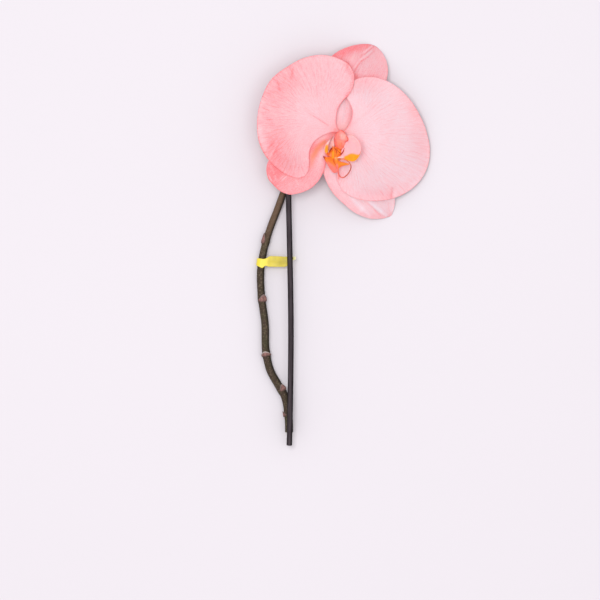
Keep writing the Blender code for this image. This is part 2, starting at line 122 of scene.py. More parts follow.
def halfThickness(thickness, edge, rounding):
    # half the thickness, rounded off as a quarter of an ellipse within the rounding of the border
    return 0.5 * thickness * np.sqrt(1 - (1 - np.clip(edge / rounding, 0.0, 1.0)) ** 2)


def lineDistance(start, end, x, y):
    # distance to the line between two points, and how far along it the foot lies
    start, run = np.array(start, dtype=float), np.subtract(end, start)
    along = ((x - start[0]) * run[0] + (y - start[1]) * run[1]) / (run @ run)
    near = np.clip(along, 0.0, 1.0)
    return np.hypot(x - start[0] - near * run[0], y - start[1] - near * run[1]), along


def nearLine(points, x, y, breadth):
    # 1 on a line through the points, falling off as a Gaussian of the distance over a ragged breadth
    distance = np.minimum.reduce([lineDistance(*ends, x, y)[0] for ends in zip(points, points[1:])])
    ragged = 1 + 0.3 * np.sin(2.9 * x + 1.3 * y) * np.sin(1.7 * x - 3.1 * y)
    return gaussian(distance, 0, breadth * ragged)


def lineMarks(lines, x, y):
    # one mark for each line of points, breadth and strength
    return [strength * nearLine(points, x, y, breadth) for points, breadth, strength in lines]


def makePiece(name, node, material, places, faces, corners, marks):
    # puts places (mm), faces, their UV corners and the point marks into one mesh that rides on the body
    mesh = bpy.data.meshes.new(name)
    mesh.from_pydata(places * mm, [], faces)
    mesh.uv_layers.new(name="outline").data.foreach_set("uv", corners.astype(np.float32).ravel())
    for title, values in marks.items():
        layer = mesh.attributes.new(title, "FLOAT", "POINT")
        layer.data.foreach_set("value", values.astype(np.float32).ravel())
    mesh.materials.append(material)
    mesh.shade_smooth()
    mesh.update()
    piece = bpy.data.objects.new(name, mesh)
    bpy.context.scene.collection.objects.link(piece)
    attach(piece, "root")
    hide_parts(node)


def closedShell(name, node, material, middle, half, marks, s, t):
    # two walls, each half the thickness off a middle surface along its normal;
    # they share the border, where the thickness is nothing, so the edge is closed
    rows, columns = half.shape
    normal = unit(np.cross(np.gradient(middle, axis=1), np.gradient(middle, axis=0)))
    half = np.pad(half[1:-1, 1:-1], 1)
    front = middle + normal * half[..., None]
    back = (middle - normal * half[..., None])[1:-1, 1:-1]
    ahead = np.arange(rows * columns).reshape(rows, columns)
    behind = ahead.copy()
    behind[1:-1, 1:-1] = rows * columns + np.arange((rows - 2) * (columns - 2)).reshape(rows - 2, -1)

    def quads(index):
        around = (index[:-1, :-1], index[:-1, 1:], index[1:, 1:], index[1:, :-1])
        return np.stack(around, axis=-1).reshape(-1, 4)

    places = np.concatenate((front.reshape(-1, 3), back.reshape(-1, 3)))
    faces = np.concatenate((quads(ahead), quads(behind)[:, ::-1])).tolist()
    chart = np.stack((s, t), axis=-1).reshape(-1, 2)[quads(ahead)]
    corners = np.concatenate((chart, chart[:, ::-1]))
    both = {title: np.concatenate((value.ravel(), value[1:-1, 1:-1].ravel()))
            for title, value in marks.items()}
    makePiece(name, node, material, places, faces, corners, both)


def ringStack(name, node, material, rings, poles, marks):
    # rings of points one after another, closed by a pole at each end
    rows, sides = rings.shape[:2]
    number = np.arange(rows * sides).reshape(rows, sides)
    nextOne = np.roll(number, -1, axis=1)
    quads = np.stack((number[:-1], number[1:], nextOne[1:], nextOne[:-1]), axis=-1).reshape(-1, 4)
    foot, top = rows * sides, rows * sides + 1
    startFan = np.stack((np.full(sides, foot), number[0], nextOne[0]), axis=-1)
    endFan = np.stack((np.full(sides, top), nextOne[-1], number[-1]), axis=-1)
    left, v = np.meshgrid(np.arange(sides) / sides, np.linspace(0.0, 1.0, rows))
    right, left, low, high = left[1:] + 1 / sides, left[1:], v[:-1], v[1:]
    chart = np.stack((left, low, left, high, right, high, right, low), axis=-1).reshape(-1, 2)
    flat = low[0]
    startChart = np.stack((left[0], flat, left[0], flat, right[0], flat), axis=-1).reshape(-1, 2)
    corners = np.concatenate((chart, startChart, startChart + (0.0, 1.0)))
    places = np.concatenate((rings.reshape(-1, 3), poles))
    withPoles = {title: np.concatenate((value.ravel(), [value[0].mean(), value[-1].mean()]))
                 for title, value in marks.items()}
    faces = quads.tolist() + startFan.tolist() + endFan.tolist()
    makePiece(name, node, material, places, faces, corners, withPoles)


def sweptRings(line, where, radii, reference, ends):
    # circles carried along a curve and square to it; each end closes as half an ellipse as deep as
    # its share of the radius; returns the rings and the two poles
    centres = curveThrough(line, where)
    ahead = unit(np.gradient(centres, axis=0))
    footArc, tipArc = capArc[::-1, None], capArc[:, None]
    footReach, tipReach = ahead[:1] * radii[0].mean() * ends[0], ahead[-1:] * radii[-1].mean() * ends[1]
    poles = (centres[0] - footReach[0], centres[-1] + tipReach[0])
    centres = np.concatenate((centres[:1] - footReach * np.sin(footArc), centres,
                              centres[-1:] + tipReach * np.sin(tipArc)))
    radii = np.concatenate((radii[:1] * np.cos(footArc), radii, radii[-1:] * np.cos(tipArc)))
    ahead = np.pad(ahead, ((len(capArc), len(capArc)), (0, 0)), mode="edge")
    side = unit(np.cross(ahead, reference))
    turn = fullTurn(radii.shape[1])[:, None]
    spoke = np.cos(turn) * side[:, None] + np.sin(turn) * np.cross(side, ahead)[:, None]
    return centres[:, None] + radii[..., None] * spoke, poles


def ballRings(centre, radii, rows, sides):
    # an ellipsoid as rings from its lowest point to its highest, also as a ball of radius one
    level = np.linspace(-math.pi / 2, math.pi / 2, rows + 2)[1:-1]
    level, turn = np.meshgrid(level, fullTurn(sides), indexing="ij")
    ball = np.stack((np.cos(level) * np.cos(turn), np.cos(level) * np.sin(turn), np.sin(level)), axis=-1)
    return np.array(centre) + ball * np.array(radii), ball


def addNode(tree, kind, values, **settings):
    # one node: settings are its own, values go to its inputs as links or plain values
    node = tree.nodes.new(kind)
    for title, value in settings.items():
        setattr(node, title, value)
    for title, value in values.items():
        if isinstance(value, bpy.types.NodeSocket):
            tree.links.new(value, node.inputs[title])
        else:
            node.inputs[title].default_value = value
    return node


def calculate(tree, operation, first, second=0.0, third=0.0):
    return addNode(tree, "ShaderNodeMath", {0: first, 1: second, 2: third}, operation=operation).outputs[0]


def scaled(tree, value, factor, offset=0.0):
    # the value times the factor, plus the offset
    return calculate(tree, "MULTIPLY_ADD", value, factor, offset)


def easeBetween(tree, value, low, high):
    # 0 at low, 1 at high, smooth between
    values = {"Value": value, "From Min": low, "From Max": high}
    return addNode(tree, "ShaderNodeMapRange", values, interpolation_type="SMOOTHSTEP").outputs[0]


def blend(tree, amount, first, second, share=1.0):
    # colour mix of first and second; second's part is the amount times the share
    if share != 1.0:
        amount = scaled(tree, amount, share)
    return addNode(tree, "ShaderNodeMix", {0: amount, 6: first, 7: second}, data_type="RGBA").outputs[2]


def noise(tree, place, scale, detail=3.0):
    values = {"Vector": place, "Scale": scale, "Detail": detail}
    return addNode(tree, "ShaderNodeTexNoise", values).outputs[0]


def stretched(tree, place, stretch):
    return addNode(tree, "ShaderNodeMapping", {"Vector": place, "Scale": stretch}).outputs[0]


def split(tree, vector):
    return addNode(tree, "ShaderNodeSeparateXYZ", {0: vector}).outputs


def outlineChart(tree):
    # s and t of a patch
    return split(tree, addNode(tree, "ShaderNodeUVMap", {}, uv_map="outline").outputs[0])[:2]


def mark(tree, title):
    return addNode(tree, "ShaderNodeAttribute", {}, attribute_name=title).outputs["Fac"]


def withGroup(tree, group, values):
    return addNode(tree, "ShaderNodeGroup", values, node_tree=group).outputs[0]


def colour(red, green, blue):
    return (red, green, blue, 1.0)


def newGroup(name, inputs, output):
    # an empty shared effect with named sockets: Place is a vector, the others are numbers
    group = bpy.data.node_groups.new(name, "ShaderNodeTree")
    for title in inputs:
        kind = "NodeSocketVector" if title == "Place" else "NodeSocketFloat"
        group.interface.new_socket(title, in_out="INPUT", socket_type=kind)
    group.interface.new_socket(output, in_out="OUTPUT", socket_type="NodeSocketFloat")
    return group, group.nodes.new("NodeGroupInput").outputs, group.nodes.new("NodeGroupOutput").inputs[0]


def makeVeinGroup():
    # veins run from claw to rim at even steps of Across and fork twice on the way; a vein is where
    # the sine of pi times its count times Across is near nothing
    group, given, result = newGroup("petalVeins", ("Across", "Along", "Count", "Width"), "Lines")
    total = None
    forks = ((1.0, -0.2, -0.1, 1.0), (2.0, 0.22, 0.42, 0.8), (4.0, 0.5, 0.74, 0.6))
    for times, start, end, strength in forks:
        count = scaled(group, given["Count"], times * math.pi)
        wave = calculate(group, "MULTIPLY", given["Across"], count)
        wave = calculate(group, "ABSOLUTE", calculate(group, "SINE", wave))
        width = calculate(group, "MULTIPLY", given["Width"], count)
        narrow = calculate(group, "DIVIDE", width, calculate(group, "ADD", given["Along"], 0.06))
        line = easeBetween(group, calculate(group, "DIVIDE", wave, narrow), 1.0, 0.0)
        line = calculate(group, "MULTIPLY", line, easeBetween(group, given["Along"], start, end))
        line = scaled(group, line, strength)
        total = calculate(group, "MAXIMUM", total, line) if total else line
    group.links.new(total, result)
    return group


def makeGrainGroup():
    # fine cell grain: two noises, the finer one four times the Scale, as a height from 0 to 1
    group, given, result = newGroup("cellGrain", ("Place", "Scale"), "Height")
    coarse = noise(group, given["Place"], given["Scale"], 2.0)
    fine = noise(group, given["Place"], scaled(group, given["Scale"], 4.0), 2.0)
    group.links.new(scaled(group, fine, 0.4, scaled(group, coarse, 0.6)), result)
    return group


def makeSpeckGroup():
    # small round specks: cells nearer to their own middle than Size, kept where a random value passes
    group, given, result = newGroup("skinSpecks", ("Place", "Scale", "Size"), "Specks")
    cell = addNode(group, "ShaderNodeTexVoronoi", {"Vector": given["Place"], "Scale": given["Scale"]})
    spot = calculate(group, "DIVIDE", cell.outputs["Distance"], given["Size"])
    chance = addNode(group, "ShaderNodeSeparateColor", {"Color": cell.outputs["Color"]}).outputs[0]
    kept = easeBetween(group, chance, 0.35, 0.6)
    specks = calculate(group, "MULTIPLY", easeBetween(group, spot, 1.0, 0.5), kept)
    group.links.new(specks, result)
    return group


veinGroup, grainGroup, speckGroup = makeVeinGroup(), makeGrainGroup(), makeSpeckGroup()


def newMaterial(name, roughness, specular, more=()):
    # a material with one Principled shader, its plain values set on its own sockets, and the place
    # on the object that its effects start from
    made = bpy.data.materials.new(name)
    made.use_nodes = True
    tree = made.node_tree
    for title, value in {"Roughness": roughness, "Specular IOR Level": specular, **dict(more)}.items():
        tree.nodes["Principled BSDF"].inputs[title].default_value = value
    return made, tree, addNode(tree, "ShaderNodeTexCoord", {}).outputs["Object"]


def finishMaterial(tree, baseColour, height, depth, roughness=None):
    # links the colour, a bump whose full height is depth in millimetres, and the roughness
    shader = tree.nodes["Principled BSDF"]
    tree.links.new(baseColour, shader.inputs["Base Color"])
    bump = addNode(tree, "ShaderNodeBump", {"Height": height, "Distance": depth * mm, "Strength": 1.0})
    tree.links.new(bump.outputs[0], shader.inputs["Normal"])
    if roughness:
        tree.links.new(roughness, shader.inputs["Roughness"])


view = {
    "middle": (-0.0376, -0.0481),  # what the camera looks straight down on
    "side": 0.522,                 # side of the square that it takes in
    "height": 10.0,                # far off, as a long lens is, so heights don't shift what it sees
}
studio = {
    "floor": colour(0.684, 0.649, 0.682), "floorHalf": 3.0,
    "room": colour(0.955, 0.935, 0.960), "roomStrength": 0.84,
    # place, width and power
    "keyLight": ((-0.45, 0.30, 2.4), 1.2, 27.4),
    "fillLight": ((0.7, -0.2, 2.5), 1.6, 11.4),
}


def makeCamera():
    lens = bpy.data.cameras.new("lookDown")
    lens.lens = lens.sensor_width * view["height"] / view["side"]
    lens.clip_end = 60.0
    camera = bpy.data.objects.new("lookDown", lens)
    camera.location = (*view["middle"], view["height"])
    bpy.context.scene.collection.objects.link(camera)
    bpy.context.scene.camera = camera


def makeFloor():
    # one flat pale sheet, its colour drifting very slightly
    mesh = bpy.data.meshes.new("floor")
    half = studio["floorHalf"]
    corners = [(-half, -half, 0), (half, -half, 0), (half, half, 0), (-half, half, 0)]
    mesh.from_pydata(corners, [], [(0, 1, 2, 3)])
    floor = bpy.data.objects.new("floor", mesh)
    bpy.context.scene.collection.objects.link(floor)
    made, tree, place = newMaterial("floorPaper", 0.9, 0.1)
    drift = noise(tree, place, 3.0)
    darker = colour(*(value * 0.985 for value in studio["floor"][:3]))
    finishMaterial(tree, blend(tree, drift, studio["floor"], darker), drift, 0.01)
    mesh.materials.append(made)


def makeLight(name):
    # a round lamp that faces the middle of the view
    place, size, power = studio[name]
    lamp = bpy.data.lights.new(name, "AREA")
    lamp.shape = "DISK"
    lamp.size = size
    lamp.energy = power
    light = bpy.data.objects.new(name, lamp)
    light.location = place
    aimX, aimY = view["middle"][0] - place[0], view["middle"][1] - place[1]
    tip = math.atan2(math.hypot(aimX, aimY), place[2])
    light.rotation_euler = (tip, 0.0, math.atan2(aimY, aimX) - math.pi / 2)
    bpy.context.scene.collection.objects.link(light)


def makeRoom():
    world = bpy.data.worlds.new("room")
    world.use_nodes = True
    background = world.node_tree.nodes["Background"]
    background.inputs["Color"].default_value = studio["room"]
    background.inputs["Strength"].default_value = studio["roomStrength"]
    bpy.context.scene.world = world
    bpy.context.scene.view_settings.view_transform = "Standard"


makeCamera()
makeFloor()
makeLight("keyLight")
makeLight("fillLight")
makeRoom()
print("camera, floor and light are set")


petalLeft = {
    "sideA": [(-0.7, 1.6), (-4.4, 6.1), (-5, 13), (-3.3, 22), (1.1, 28.7), (6.4, 34.5), (9.8, 42),
              (10.6, 48.7)],
    "rim": [(6.8, 58.9), (-3.5, 65.6), (-17.4, 68.5), (-32.2, 66.1), (-47, 58.5), (-61.3, 47.4),
            (-70, 30.4), (-73.8, 11.3), (-71.6, -9.1), (-63.7, -23.2), (-55, -31.3), (-47, -36.4),
            (-38.3, -38.7)],
    "sideB": [(-0.8, 0), (-8.3, 1), (-16.5, -1.6), (-24.4, -7.5), (-28.3, -15.7), (-28.2, -25.2),
              (-29.1, -32.2), (-31.8, -36.5)],
    "seat": 2.1, "rise": 6, "reflex": 10, "bend": 2, "liftA": 1.3, "liftB": -0.4,
    "veins": 13, "wave": 0.45, "waves": 4, "keel": 0,
    # creases: from, to, half width, depth
    "creases": [((-54.8, -8.7), (-63.5, -22.6), 1.6, 0.9), ((-42.6, 55.7), (-44, 48), 0.9, 0.35),
                ((-56.5, 47), (-54, 38), 1, 0.3), ((-27.5, 17.2), (-12.5, 7.3), 1, 0.35),
                ((-70, 4), (-60, -6), 1.2, 0.3)],
    # blush and painted shade: middle, long and short reach, turn in degrees, strength; some spots are the
    # tepal's own pigment, others painted shade where it curls away or lies under a neighbour's edge
    "ground": 0.33, "streak": 1.15, "clawGlow": 0.25,
    "blushAndShade": [(-62, -14, 30, 16, 70, 0.40), (-42, -30, 26, 12, -25, 0.27),
              (-56, 40, 34, 14, 50, 0.28), (-26, 16, 26, 18, 20, -0.06)],
    # lines: from, to, half width, strength (a paler one is negative); some are pigment, others painted
    # shade in folds and under a neighbour's edge, and paler ones a painted highlight on fold ridges
    "lines": [(-42.6, 55.7, -44, 48, 1, 0.25), (-56.5, 47, -54, 38, 1, 0.20),
              (-24.5, 15.1, -12, 7.1, 0.6, 0.30), (-33, 21.5, -24.5, 15.1, 0.9, 0.12),
              (-55.8, -9.5, -63.5, -22.6, 1.2, -0.18), (-54.4, -7.8, -59.7, -17.9, 0.6, 0.24),
              (-57, -5.2, -64.4, -13.2, 0.7, 0.20), (-71, 30, -72.4, 16, 3, -0.24),
              (-71.6, 3, -65, -17, 4, -0.19),
              (-47, 60, -38, 44, 3, 0.12), (-70, 20, -60, 8, 2.6, 0.10),
              # painted shade along the right edge, where the petal turns away
              (4, 59, 10.5, 49, 2.4, 0.30), (10.4, 46, 5, 33.5, 2.2, 0.30), (4, 33, -3.5, 22, 2, 0.24),
              (-4, 20, -4.8, 10, 1.6, 0.18)],
}
petalRight = {
    "sideA": [(0.7, 1.4), (5, 6.1), (8.4, 13.1), (9, 19.6), (7, 25.7), (4, 31.2), (4.3, 38.3),
              (7.4, 43.9), (12.2, 47.2)],
    "rim": [(19.1, 49.2), (27.8, 49.3), (37.4, 46.7), (47.9, 40.9), (58.3, 30.9), (67.9, 16.1), (74.2, 0),
            (76.6, -14.8), (74.4, -29.1), (66.6, -42.5), (54.8, -51.8), (41.8, -56.8), (27.8, -58.3),
            (15.7, -57.1), (7, -53.9)],
    "sideB": [(1.2, -0.6), (3.9, -5.2), (1.7, -13.9), (-2.2, -22.6), (-4.5, -31.3), (-3.7, -40.9),
              (0.9, -49.6)],
    "seat": 2.1, "rise": 6, "reflex": 14, "bend": 2, "liftA": -0.7, "liftB": -0.4,
    "veins": 13, "wave": 0.4, "waves": 3.5, "keel": 0,
    "creases": [((45, -47), (42.5, -56), 1.2, 0.5), ((12, 10), (28, 24), 1.4, 0.2)],
    "ground": 0.11, "streak": 0.95, "clawGlow": 0.12,
    "blushAndShade": [(40, -55, 40, 9, 0, 0.26), (14, 44, 26, 9, 10, 0.22),
              (70, -4, 40, 9, 100, 0.16), (62.5, 22, 24, 6, -57, 0.13), (-2, -38, 20, 8, 80, 0.10),
              # the spot at (17.5, -14) is a painted shadow of the lip's right lobe
              (5, 8, 9, 4, 55, 0.25), (17.5, -14, 12, 4, 100, 0.16)],
    "lines": [(43.5, -47, 42.5, -56, 0.9, 0.30), (12, 10, 28, 24, 1.4, 0.08),
              (47, -50, 46, -56, 1.6, -0.12)],
}
sepalDorsal = {
    "sideA": [(-2.4, -0.6), (-5.6, 7.2), (-10, 17.5), (-14.8, 33), (-17, 47), (-14.8, 59.2), (-9.1, 67.3),
              (-0.9, 73.1)],
    "rim": [(9.6, 76.9), (20, 78.3), (25.2, 77.9), (29.6, 76.2), (33.5, 72.6)],
    "sideB": [(2.6, -0.6), (7, 6.2), (12.5, 13.6), (21.9, 24.4), (32.2, 35.7), (38.7, 46.5), (40, 54.8),
              (38.3, 64.4)],
    "seat": 0.8, "rise": 2, "reflex": 15.23, "bend": 3, "liftA": 0, "liftB": 0,
    "veins": 9, "wave": 0.25, "waves": 2.5, "keel": 0.5,
    "creases": [((27.4, 75.8), (19, 68.8), 1, 0.45), ((28.4, 72.3), (11.5, 56.6), 1, 0.45),
                ((22, 72), (10, 50), 1.2, 0.3)],
    "ground": 0.44, "streak": 1.15, "clawGlow": 0.25,
    "blushAndShade": [(10, 74.5, 26, 5, 16, 0.48),
              (0, 18, 24, 6, 90, -0.34), (7.5, 16, 14, 2.6, 84, 0.12)],
    "lines": [(26, 76.6, 17.8, 70.1, 0.8, -0.30), (27.2, 75.6, 19.4, 68.9, 0.6, 0.34),
              (22, 75, 8, 56, 1, 0.12), (25.4, 72, 16, 64.7, 0.7, -0.24),
              (16, 64.7, 10.3, 57.4, 0.7, -0.20), (28.4, 72.3, 22.5, 66.7, 0.6, 0.22),
              (22.5, 66.7, 17, 63.4, 0.6, 0.34), (17, 63.4, 11.5, 56.3, 0.6, 0.28),
              (2, 70, -6, 55, 0.9, 0.16), (12, 72, 4, 55, 0.8, -0.14), (18, 70, 12, 55, 1, 0.14),
              (-7, 66, 4, 60, 3, 0.30), (4, 60, 12.5, 49, 3, 0.26), (12.5, 49, 30, 49, 2.4, 0.16)],
}
sepalLeft = {
    "sideA": [(-0.6, 0.8), (-14.8, 2.6), (-29.6, 0.9), (-45.2, -6.1), (-58.3, -15.7), (-64.6, -25.2)],
    "rim": [(-65.5, -33.9), (-63.5, -40.2), (-60.9, -43.2), (-53.9, -49.8)],
    "sideB": [(-0.4, -1.6), (-7.2, -12.2), (-13, -22.6), (-16.4, -33.8), (-20, -40.4), (-26.1, -46.8),
              (-35.7, -51.3), (-45.2, -53)],
    "seat": 0.8, "rise": 5, "reflex": 9.6, "bend": 2, "liftA": 0, "liftB": 0,
    "veins": 9, "wave": 0.25, "waves": 2.5, "keel": 0.3,
    "creases": [((-48.3, -37), (-53, -39.6), 0.9, 0.4)],
    # orange streak beside the lip: its line, half width and strength
    "orange": ([(-15.4, -7.6), (-18.4, -10), (-21.8, -13.8), (-25.2, -20), (-26.8, -28)], 2.6, 0.84),
    "ground": 0.66, "streak": 1.45, "clawGlow": 0.35,
    "blushAndShade": [(-58, -30, 22, 12, 60, 0.32), (-30, -16, 22, 6, 50, 0.22),
              (-16.4, -15.5, 9, 2.4, 62, -0.45), (-18.8, -25, 12, 3.2, 68, -0.22),
              (-17.5, -4.2, 8, 2.6, 35, -0.42), (-40, -46, 16, 5, -25, -0.10)],
    "lines": [(-48.2, -36.9, -52.1, -40.1, 0.7, -0.44), (-50.4, -36.6, -53.2, -38.6, 0.6, -0.32),
              (-49.2, -36.6, -53, -39.7, 0.5, 0.20), (-50, -31, -60, -36, 0.9, 0.20),
              (-63.7, -36.3, -61.2, -40.9, 0.7, -0.36), (-62.3, -34.5, -59.8, -40, 0.7, 0.26),
              (-44, -33, -38, -44, 1, -0.14), (-62, -28, -57, -40, 0.9, -0.16)],
}
sepalRight = {
    "sideA": [(-0.4, -1.6), (-6.6, -12.6), (-13, -21.4), (-16.6, -31.3), (-13.4, -42.2), (-7.4, -52.2),
              (1.3, -60.9), (11.3, -68.6), (21.8, -73.1)],
    "rim": [(32.2, -73.8), (38.7, -72.6), (43.2, -70.6), (44.6, -67)],
    "sideB": [(1, -0.8), (13.9, -7.8), (27.8, -19.1), (38.3, -33.1), (44.4, -47), (46.1, -58.3)],
    "seat": 0.8, "rise": 2, "reflex": 13.35, "bend": 3, "liftA": -0.6, "liftB": 0,
    "veins": 9, "wave": 0.25, "waves": 2.5, "keel": 0.3,
    "creases": [((22.6, -59.4), (34, -70.6), 1.2, 0.55)],
    "ground": 0.13, "streak": 1.15, "clawGlow": 0.2,
    "blushAndShade": [(-2, -56, 26, 5, -45, 0.22), (30, -72, 20, 4, 0, 0.22),
              (-13, -36, 14, 4, -72, 0.16)],
    "lines": [(23.8, -59, 33.6, -67.2, 1.5, -0.36), (33.6, -67.2, 38.2, -70.4, 1.1, -0.36),
              (22.3, -60, 29, -66.6, 0.7, 0.30), (29, -66.6, 33.4, -70.6, 0.7, 0.30),
              (40, -60, 41.5, -70, 1, 0.12), (4, -55, 14, -66, 1.2, 0.08),
              (10, -56.4, 17.2, -64.6, 2, -0.22), (17.2, -64.6, 23.8, -70.2, 1.6, -0.22)],
}
tepalForm = {
    "riseOver": 18.0,       # reach over which the claw rises
    "reach": 80.0,          # reach at which the whole reflex is down
    "liftWidth": 0.2, "keelWidth": 0.05, "veinHeight": 0.04,
    "thickness": 0.95, "rimThickness": 0.5, "thinOver": 28.0, "rimRound": 0.8,
}
tepalSkin = {
    "pale": colour(0.960, 0.540, 0.580), "deep": colour(0.940, 0.190, 0.212),
    "claw": colour(0.890, 0.220, 0.098), "light": colour(0.970, 0.660, 0.710),
    "clawReach": 9.0, "rimLine": 0.9, "streakFade": (-28.0, -17.0),
    "veinShare": 0.30, "rimShare": 0.35, "mottleShare": 0.26, "lightShare": -1.6,
    "more": {"Sheen Weight": 0.12, "Sheen Roughness": 0.4, "Subsurface Weight": 0.6,
             "Subsurface Radius": (0.004, 0.0016, 0.0014), "Subsurface Scale": 1.0},
}


def creaseDepth(creases, x, y):
    # each crease sinks as a Gaussian of the distance to its line, and fades at its ends
    total = np.zeros_like(x)
    for start, end, width, depth in creases:
        off, along = lineDistance(start, end, x, y)
        ends = smoothStep(-0.25, 0.3, along) * smoothStep(1.3, 0.6, along)
        total -= depth * gaussian(off, 0, width) * ends
    return total


def blushAndShadeOf(shape, x, y):
    # ground value plus soft oval spots, each a Gaussian turned on its middle, plus the lines; partly
    # pigment, partly painted shade and painted highlight
    total = np.full_like(x, shape["ground"])
    for midX, midY, reach, breadth, turn, strength in shape["blushAndShade"]:
        turn = math.radians(turn)
        along = (x - midX) * math.cos(turn) + (y - midY) * math.sin(turn)
        aside = (y - midY) * math.cos(turn) - (x - midX) * math.sin(turn)
        total += strength * oval(along, aside, 0, 0, reach, breadth)
    for startX, startY, endX, endY, breadth, strength in shape["lines"]:
        total += strength * nearLine([(startX, startY), (endX, endY)], x, y, breadth)
    return np.clip(total, -0.4, 1.0)


def tepalMiddle(shape, s, t):
    # height: rises from the claw, arches back with a power of its reach and falls with the bloom's tilt;
    # one edge lifts, the rim waves, the creases sink and the veins stand out by a twentieth of a millimetre
    x, y = np.moveaxis(outlinePatch(shape, s, t), -1, 0)
    reach = np.hypot(x, y)
    height = shape["seat"] + shape["rise"] * (1 - np.exp(-reach / tepalForm["riseOver"])) - flowerTilt * x
    height -= shape["reflex"] * (reach / tepalForm["reach"]) ** shape["bend"]
    for edge, lift in ((0, shape["liftA"]), (1, shape["liftB"])):
        height += smoothStep(0, 1, s) * lift * gaussian(t, edge, tepalForm["liftWidth"])
    waves = 2 * math.pi * shape["waves"] * t
    height += shape["wave"] * s**5 * np.sin(waves + 0.7)
    height += 0.3 * shape["wave"] * s**3 * np.sin(2.3 * waves + 0.8 * math.pi * s)
    keel = gaussian(t, 0.5, tepalForm["keelWidth"]) * smoothStep(0.05, 0.3, s) * smoothStep(1.0, 0.7, s)
    veins = np.abs(np.cos(math.pi * shape["veins"] * t)) * smoothStep(0.1, 0.4, s)
    height += creaseDepth(shape["creases"], x, y) + tepalForm["veinHeight"] * veins - shape["keel"] * keel
    return np.stack((x, y, height), axis=-1)


def makeTepal(name, node, shape, rows, columns):
    # thick at the claw, thinner with the reach; an orange streak fades downwards
    s, t = patchGrid(rows, columns)
    middle = tepalMiddle(shape, s, t)
    x, y = middle[..., 0], middle[..., 1]
    edge, reach = borderDistance(middle), np.hypot(x, y)
    extra = (tepalForm["thickness"] - tepalForm["rimThickness"]) * np.exp(-reach / tepalForm["thinOver"])
    half = halfThickness(tepalForm["rimThickness"] + extra, edge, tepalForm["rimRound"])
    glow = shape["clawGlow"] * gaussian(reach, 0, tepalSkin["clawReach"])
    if "orange" in shape:
        line, breadth, strength = shape["orange"]
        fade = 0.35 + 0.65 * smoothStep(*tepalSkin["streakFade"], y)
        glow = np.maximum(glow, strength * fade * nearLine(line, x, y, breadth))
    marks = {"blushAndShade": blushAndShadeOf(shape, x, y), "rimLine": gaussian(edge, 0, tepalSkin["rimLine"]) * (s > 0.04),
             "clawGlow": glow}
    closedShell(name, node, makeTepalMaterial(name, shape), flowerPlace(middle), half, marks, s, t)


def makeTepalMaterial(name, shape):
    # pale to deep pink by a mark of blush and painted shade, and a soft mottle; veins and rim a little
    # deeper;
    # paler still where that mark is below nothing, in part a painted highlight; orange at the claw
    made, tree, place = newMaterial(name + "Skin", 0.5, 0.3, tepalSkin["more"])
    along, across = outlineChart(tree)
    # veins fan out from the middle one: the spread grows from 0.6 at the claw to 1.2 at the rim
    across = calculate(tree, "DIVIDE", scaled(tree, across, 1.0, -0.5), scaled(tree, along, 0.6, 0.6))
    across = calculate(tree, "ADD", across, 0.5)
    strokes = addNode(tree, "ShaderNodeCombineXYZ", {"X": along, "Y": across}).outputs[0]
    strokes = noise(tree, stretched(tree, strokes, (16.0, 13.0 * shape["veins"] - 20.0, 1.0)), 1.0, 2.0)
    streak = scaled(tree, strokes, 1.1, scaled(tree, noise(tree, place, 1100.0, 2.0), 0.9))
    streak = scaled(tree, streak, 0.5, -0.5)
    lines = withGroup(tree, veinGroup, {"Across": scaled(tree, noise(tree, place, 60.0), 0.035, across),
                                        "Along": along, "Count": float(shape["veins"]), "Width": 0.0028})
    breaks = easeBetween(tree, noise(tree, place, 130.0, 4.0), 0.35, 0.65)
    lines = calculate(tree, "MULTIPLY", lines, breaks)
    mottle = scaled(tree, noise(tree, place, 60.0, 5.0), 1.0, -0.5)
    depth = mark(tree, "blushAndShade")
    for value, share in ((mottle, tepalSkin["mottleShare"]), (streak, shape["streak"]),
                         (lines, tepalSkin["veinShare"]), (mark(tree, "rimLine"), tepalSkin["rimShare"])):
        depth = scaled(tree, value, share, depth)
    base = blend(tree, depth, tepalSkin["pale"], tepalSkin["deep"])
    base = blend(tree, depth, base, tepalSkin["light"], tepalSkin["lightShare"])
    base = blend(tree, mark(tree, "clawGlow"), base, tepalSkin["claw"])
    grain = withGroup(tree, grainGroup, {"Place": place, "Scale": 900.0})
    height = scaled(tree, lines, 0.3, scaled(tree, streak, 0.9, grain))
    finishMaterial(tree, base, height, 0.08, scaled(tree, grain, 0.2, 0.42))
    return made


makeTepal("petalLeft", "petal_left", petalLeft, rows=150, columns=190)
makeTepal("petalRight", "petal_right", petalRight, rows=150, columns=190)
makeTepal("sepalDorsal", "sepal_dorsal", sepalDorsal, rows=190, columns=150)
makeTepal("sepalLeft", "sepal_lateral_left", sepalLeft, rows=180, columns=150)
makeTepal("sepalRight", "sepal_lateral_right", sepalRight, rows=180, columns=150)
print("petals and sepals are made")


stem = {
    "line": [(-47.2, -163, 3.6), (-48, -146, 3.95), (-51.2, -131, 4.1), (-57, -121, 4.2),
             (-63.5, -109, 4.3), (-67, -94, 4.5), (-68, -68, 4.6), (-71.3, -43, 4.75),
             (-71.6, -20, 4.9), (-68.6, -3, 4.9), (-63.6, 14, 4.9), (-57.5, 30, 4.8), (-51, 48, 4.9),
             (-44.5, 66, 5.4), (-38.3, 78, 6.7), (-33, 84.2, 7.4)],
    "footRadius": 3.6, "tipRadius": 3.0, "skinDepth": 0.08, "nodeSwell": 0.35, "swellReach": 2.6,
    "turnFromLight": 0.35,  # how far the painted shade on the flanks is turned, towards the right side
    "olive": colour(0.046, 0.035, 0.019), "purple": colour(0.048, 0.030, 0.024),
    "green": colour(0.040, 0.038, 0.018), "upper": colour(0.128, 0.076, 0.050),
    "flankShade": colour(0.015, 0.012, 0.008), "speck": colour(0.172, 0.134, 0.090),
    "cut": colour(0.42, 0.44, 0.22), "pith": colour(0.62, 0.60, 0.38),
}
